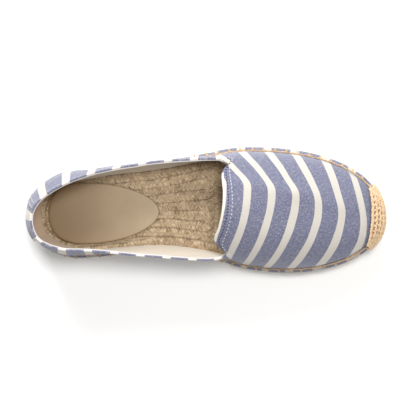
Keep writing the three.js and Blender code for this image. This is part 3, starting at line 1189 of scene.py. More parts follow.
@dataclass(frozen=True)
class RubberFinish(Finish):
    """Crepe rubber with a fine wavy tread underneath."""

    colour: Colour
    dusty: Colour
    tread: float
    roughness: float = 0.75
    sway: float = 0.9
    sways: float = 620.0

    def paint(self, tree: Tree, effects: Effects) -> Look:
        """Raise the tread where the rubber faces down, and roughen all of it."""
        place = tree.place()
        sways = tree.times(tree.axis(place, "Y"), self.sways)
        sway = tree.times(tree.math("SINE", sways), self.sway)
        run = tree.times(tree.axis(place, "X"), math.tau / (self.tread * MM))
        ridge = tree.ramp(tree.math("SINE", tree.plus(run, sway)), -0.2, 0.3)
        facing = tree.axis(tree.add("ShaderNodeNewGeometry").outputs["Normal"], "Z")
        grit = tree.noise(place, 500.0, 3.0)
        height = tree.plus(tree.times(ridge, tree.ramp(facing, -0.6, -0.95)), tree.times(grit, 0.2))
        colour = tree.mix(tree.ramp(grit, 0.4, 0.7), self.colour, self.dusty)
        return Look(colour, self.roughness, height=height, strength=0.7, relief=0.6)


@dataclass(frozen=True)
class PlainFinish(Finish):
    """A plain matt surface."""

    colour: Colour
    roughness: float = 0.9

    def paint(self, tree: Tree, effects: Effects) -> Look:
        """Mottle the colour a little."""
        tone = tree.times(tree.noise(tree.place(), 300.0, 2.0), 0.3)
        return Look(tree.mix(tone, self.colour, darker(self.colour, 0.6)), self.roughness)


class Finishes:
    """Every finish on the shoe."""

    CANVAS = ClothFinish(
        "striped canvas",
        warp=(0.034, 0.046, 0.14), weft=(0.145, 0.156, 0.243),
        stripe=(0.58, 0.545, 0.49), stripe_weft=(0.525, 0.49, 0.44),
    )
    # The same canvas turned over the collar, in tones of its own that stand for how light falls on
    # the turned edge: painted light and shade.
    FOLD = ClothFinish(
        "folded canvas edge",
        warp=(0.04, 0.05, 0.14), weft=(0.16, 0.17, 0.24),
        stripe=(0.72, 0.66, 0.6), stripe_weft=(0.64, 0.58, 0.52),
    )
    LINING = ClothFinish(
        "cotton lining",
        warp=(0.53, 0.465, 0.37), weft=(0.57, 0.5, 0.405),
        stripe=(0.64, 0.56, 0.47), stripe_weft=(0.64, 0.56, 0.47),
        repeat=500.0, stripe_width=1.0, yarn=0.45, bump=0.06,
        # Painted brown shade on the lining towards the heel.
        heel_shade=0.55,
    )
    BINDING = ClothFinish(
        "throat binding",
        warp=(0.7, 0.65, 0.58), weft=(0.66, 0.61, 0.54),
        stripe=(0.72, 0.68, 0.61), stripe_weft=(0.72, 0.68, 0.61),
        repeat=500.0, stripe_width=1.0, yarn=0.4, bump=0.06,
    )
    JUTE = FibreFinish(
        "jute braid",
        dark=(0.225, 0.153, 0.086), light=(0.575, 0.445, 0.295), gap=(0.085, 0.05, 0.025),
        fineness=0.44, bump=0.8,
        on_fabric=True,
    )
    JUTE_CORE = FibreFinish(
        "jute core",
        dark=(0.26, 0.185, 0.115), light=(0.46, 0.36, 0.24), gap=(0.1, 0.065, 0.04),
        fineness=0.8, bump=0.5,
    )
    THREAD = FibreFinish(
        "straw thread",
        dark=(0.56, 0.365, 0.2), light=(0.77, 0.61, 0.42), gap=(0.42, 0.22, 0.09),
        fineness=1.3, bump=0.25,
    )
    SEWING = FibreFinish(
        "sewing thread",
        dark=(0.36, 0.22, 0.11), light=(0.66, 0.48, 0.31), gap=(0.13, 0.065, 0.025),
        fineness=1.1, bump=0.25,
    )
    # The wrap's own thread, darker: painted shade for the ground seen between the loops.
    WRAP_BASE = FibreFinish(
        "wrap ground",
        dark=(0.3, 0.16, 0.07), light=(0.52, 0.32, 0.16), gap=(0.24, 0.12, 0.05),
        fineness=1.5, bump=0.3,
    )
    # Both leathers darken towards the back with painted shade.
    SOCK = LeatherFinish(
        "sock leather",
        colour=(0.34, 0.255, 0.155), wear_and_shade=(0.395, 0.3, 0.19), heel_end_shade=(0.195, 0.125, 0.06),
    )
    # Near-black edge and underside: painted shade for the gap where the pad meets the jute.
    SOCK_EDGE = LeatherFinish(
        "sock edge",
        colour=(0.1, 0.062, 0.035), wear_and_shade=(0.16, 0.1, 0.06), heel_end_shade=(0.06, 0.035, 0.018),
    )
    RUBBER = RubberFinish("crepe rubber", (0.36, 0.24, 0.13), dusty=(0.45, 0.33, 0.2), tread=4.2)
    WHITE_THREAD = PlainFinish("white sewing thread", (0.62, 0.61, 0.62))
    NAVY_THREAD = PlainFinish("navy sewing thread", (0.02, 0.028, 0.075))
    ORANGE_THREAD = PlainFinish("lasting thread", (0.52, 0.27, 0.1))

    def __init__(self) -> None:
        """Build them all."""
        effects = Effects()
        for key, finish in vars(type(self)).items():
            if isinstance(finish, Finish):
                setattr(self, key.lower(), finish.build(effects))


@dataclass(eq=False)
class SubAssembly:
    """A part of the shoe, made in the workshop over the upper's form or the sole's outline."""

    shop: Workshop
    form: CanvasForm
    finishes: Finishes

    @property
    def outline(self) -> SoleOutline:
        """The sole's outline."""
        return self.form.outline


# ---- the upper ----
@dataclass(frozen=True)
class StripeLines:
    """How the vamp's stripes run: straight cloth drawn over the foot, bent along its ridge."""

    first: float = 27.6
    pitch: float = 16.5
    closing: float = 0.06
    ridge_from: float = 29.0
    ridge_y: float = 14.6
    ridge_slope: float = 0.12
    ridge_bend: float = 0.0022
    lateral_soft: float = 8.0
    lateral_run: float = 1.05
    lateral_fade: float = 0.0113
    lateral_least: float = 0.26
    corner_from: float = 17.0
    corner_most: float = 8.0
    corner_pull: float = 0.065
    corner_fade: float = 8.0
    sway: float = 0.03
    medial_soft: float = 70.0
    medial_bend: float = 0.0064
    medial_more: float = 0.00007

    def repeat_at(self, x: float, y: float) -> float:
        """Count of stripe repeats from the throat's first stripe.

        Args:
            x: Place along the shoe.
            y: Place across it.

        Returns:
            A whole number in the middle of each stripe.
        """
        crest = x + 4.0
        for _ in range(18):
            past = crest - self.ridge_from
            ridge = self.ridge_y - self.ridge_slope * past - self.ridge_bend * past * abs(past)
            aside = y - ridge
            if aside > 0.0:
                run = max(self.lateral_run - self.lateral_fade * past, self.lateral_least)
                soft = self.lateral_soft
            else:
                soft = self.medial_soft
                run = 2.0 * soft * max(self.medial_bend + self.medial_more * past, 0.002)
            drop = run * (math.hypot(aside, soft) - soft)
            corner = clamp(aside - self.corner_from, 0.0, self.corner_most)
            drop += self.corner_pull * corner**2 * math.exp(-max(past, 0.0) / self.corner_fade)
            crest = lerp(crest, x + drop, 0.5)
        step = (crest - self.first) / self.pitch
        step += self.sway * noise.noise(Vector((x * 0.07, y * 0.07, 0.0)))
        return step + self.closing / self.pitch * step * abs(step)


@dataclass(frozen=True)
class ToeWrapSizes:
    """Sizes of the thread wrap on the toe."""

    back: float = 114.6
    back_bend: float = 0.006
    back_y: float = -2.0
    lateral_end: float = 0.97
    medial_end: float = 0.96
    ground: float = 0.6
    ground_thick: float = 0.5
    ground_rows: int = 34
    turning_rows: int = 3
    shoulder: float = 0.9
    shoulder_width: float = 0.6
    cord: float = 1.45
    leg: float = 1.2
    rows: int = 7
    pitch: float = 3.3
    stagger: float = 0.3
    scallop: float = 0.4
    long_legs: int = 3
    drop: float = 3.5
    columns: int = 90

    def back_at(self, y: float) -> float:
        """Where the wrap's back edge lies along the shoe."""
        return self.back - self.back_bend * (y - self.back_y) ** 2


@dataclass(frozen=True)
class UpperSizes:
    """Sizes of the canvas pieces."""

    wall: float = 1.6
    vamp_stand: float = 0.5
    lap_stand: float = 0.55
    seam_lateral: float = 0.535
    seam_medial: float = 0.575
    tuck: float = 0.035
    heel_seam: float = 0.058
    heel_lap: float = 0.05
    # Painted shade on the canvas: a line along the seam at its foot, a band at the toe wrap's edge,
    # and shade under the hem that reaches higher on the medial side.
    seam_shade_at: float = 0.5
    seam_shade_width: float = 0.42
    toe_shade: float = 1.1
    toe_shade_strength: float = 0.8
    under_shade: float = 0.5
    under_run: float = 2.0
    under_medial: float = 2.4
    under_lateral: float = -0.6
    hem_steps: int = 12
    wall_steps: int = 40
    rim_steps: int = 6
    inner_steps: int = 24
    fold_rings: float = 0.68
    fold_stand: float = 0.3
    lining_depth: float = 0.8
    counter: float = 3.8
    counter_back: float = -108.0
    counter_front: float = -62.0
    counter_inner: float = -82.0
    binding_lateral: float = 0.64
    binding_medial: float = 0.637
    binding_width: float = 0.9
    binding_stand: float = 0.12
    binding_legs: int = 5
    binding_rim: int = 8
    binding_columns: int = 120
    lateral_first: float = 12.4
    lateral_pitch: float = 17.67
    medial_first: float = 35.3
    medial_pitch: float = 17.78
    stripe_ring: float = 12.5
    upright: float = 3.4
    hem_run: float = 3.2


@dataclass(eq=False)
class CanvasPiece:
    """One closed piece of canvas and lining, between two turns round the sole.

    The stand is how far its outer face stands off the form, by turn.
    """

    form: CanvasForm
    sizes: UpperSizes
    stand: Callable[[float], float]
    turned_edge: bool

    @property
    def rows(self) -> int:
        """Faces round the section."""
        sizes = self.sizes
        return sizes.hem_steps + sizes.wall_steps + sizes.rim_steps + sizes.inner_steps

    def section(self, t: float) -> tuple[float, float, float]:
        """Follow the section from the hem's edge over the rim and back down inside.

        Args:
            t: Share of the way round the section.

        Returns:
            The ring, the depth below the outer face as a share of the wall, and the rim's rise.
        """
        sizes = self.sizes
        last, crease = self.form.LAST_RING, self.form.CREASE_RING
        row = t * self.rows
        if row <= sizes.hem_steps:
            return crease * row / sizes.hem_steps, 0.0, 0.0
        row -= sizes.hem_steps
        if row <= sizes.wall_steps:
            return crease + (last - crease) * row / sizes.wall_steps, 0.0, 0.0
        row -= sizes.wall_steps
        if row <= sizes.rim_steps:
            angle = math.pi * row / sizes.rim_steps
            return float(last), (1.0 - math.cos(angle)) / 2.0, math.sin(angle)
        share = (row - sizes.rim_steps) / sizes.inner_steps
        return (0.0, 0.0, 0.0) if share >= 1.0 else (last * (1.0 - share) ** 0.8, 1.0, 0.0)

    def place(self, turn: float, t: float, pinched: bool) -> Vector:
        """Point of the piece.

        Args:
            turn: Turn round the sole.
            t: Share of the way round the section.
            pinched: True at a cut end, where outer and inner faces meet.

        Returns:
            The point in millimetres.
        """
        sizes = self.sizes
        ring, depth, rise = self.section(t)
        half = 0.5 if pinched else depth
        out = self.stand(turn) - sizes.wall * half
        if half >= 1.0:
            x = self.form.base(turn, ring).x
            front = sizes.counter_front if turn % 2.0 < 1.0 else sizes.counter_inner
            behind = 1.0 - smooth(sizes.counter_back, front, x)
            low = 1.0 - smooth(self.form.CREASE_RING, self.form.LAST_RING - 2.0, ring)
            out -= sizes.counter * behind * low * smooth(0.0, 4.0, ring)
        if self.turned_edge and depth < 0.5 and not pinched:
            past = ring - self.form.LAST_RING + sizes.fold_rings
            out += sizes.fold_stand * smooth(0.0, 0.25, past)
        at = self.form.point(turn, ring, out)
        if rise and not pinched:
            up = self.form.base(turn, ring) - self.form.base(turn, ring - 0.3)
            at += up.normalized() * (rise * sizes.wall * 0.5)
        return at

    def slot(self, t: float) -> int:
        """Tell canvas, lining and turned edge apart.

        Args:
            t: Share of the way round the section.

        Returns:
            0 on the canvas, 1 on the lining, 2 on the edge turned over at the collar.
        """
        ring, depth, _ = self.section(t)
        if depth > self.sizes.lining_depth:
            return 1
        return 2 * int(self.turned_edge and ring > self.form.LAST_RING - self.sizes.fold_rings)


@dataclass(eq=False)
class Upper(SubAssembly):
    """Both quarters, the vamp, the throat binding and the upper's stitching."""

    sizes: UpperSizes = UpperSizes()
    stripes: StripeLines = StripeLines()
    wrap: ToeWrapSizes = ToeWrapSizes()

    def __post_init__(self) -> None:
        """Find the turns of the two side seams."""
        self.seam_lateral = turn_of(Side.LATERAL, self.sizes.seam_lateral)
        self.seam_medial = turn_of(Side.MEDIAL, self.sizes.seam_medial)

    def _vamp_fabric(self, turn: float, ring: float) -> tuple[float, float]:
        """Pattern coordinates on the vamp.

        Args:
            turn: Turn round the sole.
            ring: Ring from the hem.

        Returns:
            Across and along the stripes, in millimetres.
        """
        at = self.form.base(turn, max(ring, float(self.form.CREASE_RING)))
        across = self.stripes.repeat_at(at.x, at.y) * Finishes.CANVAS.repeat
        down = max(0.0, self.form.CREASE_RING - ring) * self.sizes.hem_run
        side = 1.0 if turn < 1.0 else -1.0
        return across, at.y * 1.15 - side * at.z * 0.7 + side * down

    def _quarter_fabric(self, start: float, end: float, first: float, pitch: float) -> Pattern:
        """Pattern coordinates on a quarter, whose stripes stand upright.

        Args:
            start: The quarter's first turn.
            end: Its last turn.
            first: Distance along it to the middle of a stripe.
            pitch: Distance along it from stripe to stripe.

        Returns:
            A function from turn and ring to coordinates in millimetres.
        """
        turns = spread(start, end, 160)
        path = Path(self.form.base(turn, self.sizes.stripe_ring) for turn in turns)
        last = len(turns) - 1

        def fabric(turn: float, ring: float) -> tuple[float, float]:
            """Pattern coordinates."""
            index = clamp((turn - turns[0]) / (turns[-1] - turns[0]), 0.0, 1.0) * last
            low = min(int(index), last - 1)
            along = lerp(path.marks[low], path.marks[low + 1], index - low)
            return (along - first) * Finishes.CANVAS.repeat / pitch, ring * self.sizes.upright

        return fabric

    def _painted_shade(self, turn: float, ring: float) -> float:
        """Painted shade on the canvas: along the seam at its foot, under the hem, and at the toe
        wrap's edge.

        Args:
            turn: Turn round the sole.
            ring: Ring from the hem.

        Returns:
            The painted shade, from 0 to 1.
        """
        sizes = self.sizes
        inner = sizes.under_medial if turn % 2.0 > 1.0 else sizes.under_lateral
        under = 1.0 - smooth(inner, inner + sizes.under_run, ring)
        seam = bell(ring - self.form.CREASE_RING - sizes.seam_shade_at, sizes.seam_shade_width)
        at = self.form.base(turn, ring)
        toe = bell(at.x - self.wrap.back_at(at.y), sizes.toe_shade)
        return max(seam, sizes.toe_shade_strength * toe, sizes.under_shade * under)

    def _body(
        self, name: str, start: float, end: float, columns: int, piece: CanvasPiece, fabric: Pattern
    ) -> bpy.types.Object:
        """Build one canvas piece.

        Args:
            name: Name of the piece.
            start: First turn.
            end: Last turn.
            columns: Faces along it.
            piece: Its section.
            fabric: Its pattern coordinates, by turn and ring.

        Returns:
            The new object.
        """

        def turn_at(s: float) -> float:
            """Turn at a share of the way along, held at the cut ends."""
            return lerp(start, end, clamp((s * columns - 1.0) / (columns - 2), 0.0, 1.0))

        def place(s: float, t: float) -> Vector:
            """Point of the piece, pinched shut at its cut ends."""
            pinched = s * columns < 0.5 or s * columns > columns - 0.5
            past = math.copysign(0.0015, s - 0.5) if pinched else 0.0
            return piece.place(turn_at(s) + past, t, pinched)

        def pattern(s: float, t: float) -> tuple[float, float]:
            """Pattern coordinates, turned a quarter on the lining."""
            ring, depth, _ = piece.section(t)
            across, along = fabric(turn_at(s), ring)
            return (across, along) if depth <= self.sizes.lining_depth else (along, across)

        def fold_shade(s: float, t: float) -> float:
            """Painted shade on the outer face."""
            ring, depth, _ = piece.section(t)
            return 0.0 if depth > 0.0 else self._painted_shade(turn_at(s), ring)

        cloths = (self.finishes.canvas, self.finishes.lining, self.finishes.fold)
        slot = lambda s, t: piece.slot(t)
        return self.shop.net(name, columns, piece.rows, place, pattern, cloths, slot, depth=fold_shade)

    def build(self) -> None:
        """Build the whole upper."""
        sizes = self.sizes
        seam, tuck = sizes.heel_seam, sizes.tuck
        lateral = (seam, self.seam_lateral + tuck)
        medial = (self.seam_medial - tuck, 2.0 + seam + sizes.heel_lap * 0.6)
        vamp = (self.seam_lateral, self.seam_medial)

        def lapped(turn: float) -> float:
            """How far the lateral quarter stands out where it laps the medial one."""
            lap = smooth(seam + sizes.heel_lap * 0.5, seam + sizes.heel_lap, turn)
            return sizes.lap_stand * (1.0 - lap)

        lateral_cloth = self._quarter_fabric(*lateral, sizes.lateral_first, sizes.lateral_pitch)
        medial_cloth = self._quarter_fabric(*medial, sizes.medial_first, sizes.medial_pitch)
        for name, turns, columns, stand, turned_edge, fabric in (
            ("lateral_quarter", lateral, 150, lapped, True, lateral_cloth),
            ("medial_quarter", medial, 160, lambda turn: 0.0, True, medial_cloth),
            ("vamp", vamp, 230, lambda turn: sizes.vamp_stand, False, self._vamp_fabric),
        ):
            section = CanvasPiece(self.form, sizes, stand, turned_edge)
            piece = self._body(name, *turns, columns, section, fabric)
            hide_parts("upper")
        self._binding()
        self._collar_tape()
        self._throat_stitches()
        self._heel_stitches()

    def _binding(self) -> None:
        """Tape that binds the throat's edge."""
        sizes = self.sizes
        form = self.form
        legs, rim, columns = sizes.binding_legs, sizes.binding_rim, sizes.binding_columns
        rows = 2 * legs + rim
        start = turn_of(Side.LATERAL, sizes.binding_lateral)
        end = turn_of(Side.MEDIAL, sizes.binding_medial)
        half = sizes.wall / 2.0 + sizes.binding_stand
        middle = sizes.vamp_stand - sizes.wall / 2.0
        top = form.LAST_RING

        def place(s: float, t: float) -> Vector:
            """Point of the tape: down the outside, over the rim and down the inside."""
            turn = lerp(start, end, clamp((s * columns - 1.0) / (columns - 2.0), 0.0, 1.0))
            row = t * rows
            at_edge = form.point(turn, top, middle)
            up = (form.base(turn, top) - form.base(turn, top - 0.3)).normalized()
            if s * columns < 0.5 or s * columns > columns - 0.5:
                return at_edge - up * sizes.binding_width * 0.5
            if legs <= row <= legs + rim:
                angle = math.pi * (row - legs) / rim
                out = form.normal(turn, float(top))
                return at_edge + out * (math.cos(angle) * half) + up * (math.sin(angle) * half)
            outside = row < legs
            share = 1.0 - row / legs if outside else (row - legs - rim) / legs
            ring = form.ring_below_top(turn, sizes.binding_width * share)
            lip = half - (0.3 if row < 0.5 else 0.0)
            return form.point(turn, ring, middle + lip if outside else middle - half)

        cloth = (self.finishes.binding,)
        weave = lambda s, t: (s * 70.0, t * 8.0)
        piece = self.shop.net("throat_binding", columns, rows, place, weave, cloth)

    def _collar_tape(self) -> None:
        """Narrow cotton tape that edges the lining, all round the collar."""
        tuck = self.sizes.tuck
        turns = spread(self.seam_medial - tuck, 2.0 + self.seam_lateral + tuck, 500)
        ring = float(self.form.LAST_RING)
        rim = self.form.line([(turn, ring, -self.sizes.wall * 0.92) for turn in turns])
        work = YarnWork(self.shop, "collar_tape")
        work.lay(Path((point + UP * 0.25 for point in rim.points), rim.outward), TAPE_CORD)
        work.done((self.finishes.white_thread,))

    def _throat_stitches(self) -> None:
        """Two rows of stitches along the throat."""
        turns = spread(self.seam_lateral + 0.02, self.seam_medial - 0.02, 120)
        stand = self.sizes.vamp_stand + 0.08
        for name, below, thread, bead in (
            ("throat_needle_holes", 3.0, self.finishes.navy_thread, Bead(2.0, 1.05, 1.15, 0.45)),
            ("throat_topstitch", 5.9, self.finishes.white_thread, Bead(2.5, 1.75, 0.55, 0.45)),
        ):
            marks = [(turn, self.form.ring_below_top(turn, below), stand) for turn in turns]
            row = StitchRow(self.shop, name)
            row.sew(self.form.line(marks), bead)
            row.done((thread,))

    def _heel_stitches(self) -> None:
        """Stitches down the back seam."""
        row = StitchRow(self.shop, "heel_seam_stitch")
        for aside in (0.008, 0.03):
            turn = self.sizes.heel_seam + aside
            path = self.form.line([(turn, ring, 0.62) for ring in spread(4.6, 12.7, 40)])
            row.sew(path, Bead(2.6, 1.8, 0.5, 0.45))
        row.done((self.finishes.white_thread,))


# ---- sewing to the sole ----
@dataclass(frozen=True)
class BlanketStitchSizes:
    """Sizes of the thread that joins the upper to the sole."""

    pitch: float = 8.0
    line_ring: float = 3.85
    pull: float = 0.0875
    stand: float = 0.6
    leg_stand: float = 0.4
    leg_sink: float = 0.9
    leg_sway: float = 0.0016
    leg_end: float = 0.9
    tucked_end: float = 2.6
    tucked_from: float = -20.0
    leg_steps: int = 12


@dataclass(eq=False)
class BlanketStitch(SubAssembly):
    """Jute thread that runs along the upper's foot, with a leg over the hem at each stitch."""

    sizes: BlanketStitchSizes = BlanketStitchSizes()

    def build(self, start: float, end: float) -> None:
        """Sew from one end of the toe wrap round the heel to the other.

        Args:
            start: Turn at the medial end of the wrap.
            end: Turn at its lateral end, past the heel.
        """
        sizes = self.sizes
        work = YarnWork(self.shop, "blanket_stitch")
        turns = spread(start, end, 900)
        guide = Path(self.form.base(turn, sizes.line_ring) for turn in turns)
        legs = int(guide.length / sizes.pitch)
        marks = []
        for turn, mark in zip(turns, guide.marks):
            beat = mark / guide.length * legs
            ring = sizes.line_ring - sizes.pull * math.cos(math.tau * beat)
            marks.append((turn, ring, sizes.stand))
        work.lay(self.form.line(marks), SEWING_YARN)
        for i in range(legs + 1):
            mark = guide.length * i / legs
            turn = turns[guide.nearest(mark)]
            sway = sizes.leg_sway * math.sin(i * 2.3)
            hidden = turn % 2.0 < 1.0 and guide.at(mark)[0].x < sizes.tucked_from
            end_ring = sizes.tucked_end if hidden else sizes.leg_end
            marks = []
            for share in spread(0.0, 1.0, sizes.leg_steps):
                stand = lerp(sizes.stand, sizes.leg_stand, min(1.0, share * 3.0))
                stand -= sizes.leg_sink * smooth(0.5, 1.0, share)
                ring = lerp(sizes.line_ring + 0.1, end_ring, share)
                marks.append((turn + sway * share, ring, stand))
            work.lay(self.form.line(marks), SEWING_YARN)
        work.done((self.finishes.sewing,))


# ---- toe wrap ----
@dataclass(eq=False)
class ToeWrap(SubAssembly):
    """Rows of looped thread over the toe, on a ground of the same thread."""

    sizes: ToeWrapSizes = ToeWrapSizes()

    def __post_init__(self) -> None:
        """Find the turns of its two ends."""
        self.start = turn_of(Side.LATERAL, self.sizes.lateral_end)
        self.end = turn_of(Side.MEDIAL, self.sizes.medial_end)

    def _past_back(self, at: Vector) -> bool:
        """Tell whether a point of the canvas lies past the wrap's back edge."""
        return at.x > self.sizes.back_at(at.y)

    @lru_cache(maxsize=4000)
    def profile(self, turn: float) -> Path:
        """Line down the toe, from the wrap's back edge to its lowest edge on the jute.

        Args:
            turn: Turn round the sole.

        Returns:
            The line, with outward directions.
        """
        sizes = self.sizes
        crease = self.form.CREASE_RING
        low, high = float(crease), 10.0
        if self._past_back(self.form.base(turn, low)):
            for _ in range(24):
                mid = (low + high) / 2.0
                if self._past_back(self.form.base(turn, mid)):
                    low = mid
                else:
                    high = mid
        shoulder = lambda ring: sizes.shoulder * bell(ring - crease, sizes.shoulder_width)
        line = self.form.line([(turn, ring, shoulder(ring)) for ring in spread(low, 0.0, 30)])
        lowest = line.points[-1] - UP * sizes.drop
        return Path([*line.points, lowest], [*line.outward, line.outward[-1]])

    def point(self, turn: float, share: float, out: float) -> tuple[Vector, Vector]:
        """Point of the wrap."""
        profile = self.profile(round(turn, 6))
        at, outward = profile.at(share * profile.length)
        return at + outward * out, outward

    def build(self) -> None:
        """Build the ground and the thread."""
        sizes = self.sizes
        turning = sizes.turning_rows
        rows = sizes.ground_rows + turning

        def place(s: float, t: float) -> Vector:
            """Point of the ground, whose back edge is turned in."""
            turn = lerp(self.start, self.end, s)
            row = t * rows
            if row <= turning:
                return self.point(turn, 0.0, lerp(-0.2, sizes.ground, row / turning))[0]
            return self.point(turn, (row - turning) / sizes.ground_rows, sizes.ground)[0]

        # The ground takes the darker thread finish: painted shade between the loops.
        base = (self.finishes.wrap_base,)
        weave = lambda s, t: (s * 80.0, t * 30.0)
        ground = self.shop.net("toe_wrap_ground", sizes.columns, rows, place, weave, base)
        thickness = ground.modifiers.new("thickness", "SOLIDIFY")
        thickness.thickness = sizes.ground_thick * MM
        thickness.offset = -1.0
        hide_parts("toe_wrap")
        self._thread()

    def _thread(self) -> None:
        """Rows of loops, and the long legs at both ends."""
        sizes = self.sizes
        work = YarnWork(self.shop, "toe_wrap_thread")
        width = self.end - self.start
        turns = [self.start + width * i / 240 for i in range(241)]
        for row in range(sizes.rows + 1):
            share = row / sizes.rows
            guide = Path(self.point(turn, share, 0.0)[0] for turn in turns)
            loops = max(4, int(guide.length / sizes.pitch))
            swing = sizes.scallop * (1.0 if row == 0 else 0.5)
            placed = []
            for turn, mark in zip(turns, guide.marks):
                beat = mark / guide.length * loops + row * sizes.stagger
                length = self.profile(round(turn, 6)).length
                down = share + swing * math.cos(math.tau * beat) / length
                placed.append(self.point(turn, clamp(down, 0.0, 1.0), sizes.cord))
            work.lay(Path(*zip(*placed)), WRAP_YARN)
            if row == sizes.rows:
                break
            for i in range(loops):
                mark = guide.length * ((i + 0.5 - row * sizes.stagger) % loops) / loops
                self._leg(work, turns[guide.nearest(mark)], share, share + 1.0 / sizes.rows)
        for i in range(sizes.long_legs):
            aside = width * (0.012 + 0.024 * i)
            self._leg(work, self.start + aside, 0.0, 1.0)
            self._leg(work, self.end - aside, 0.0, 1.0)
        work.done((self.finishes.thread,))

    def _leg(self, work: YarnWork, turn: float, low: float, high: float) -> None:
        """One leg of thread."""
        shares = spread(low, high, max(5, int((high - low) * 40)))
        placed = [self.point(turn, share, self.sizes.leg) for share in shares]
        work.lay(Path(*zip(*placed)), WRAP_YARN)


# ---- the jute sole ----
@dataclass(frozen=True)
class BraidSizes:
    """Sizes of the braid that the sole is coiled from."""

    width: float = 6.5
    height: float = 1.6
    flatness: float = 0.42
    plait: float = 2.6
    relief: float = 0.34
    step: float = 0.6
    across: int = 12
    side_width: float = 6.4
    side_height: float = 1.5
    side_level: float = 6.3
    side_inset: float = 2.6
    rim_inset: float = 8.0
    front: float = 8.6
    loop_reach: float = 2.0
    loop_start: int = -98
    push: float = 2.6
    push_from: float = -62.0
    push_to: float = -24.0
    thread_inset: float = 5.6
    thread_level: float = 18.5
    row_shade: float = 0.72
    plait_shade: float = 0.75
    strands: int = 5


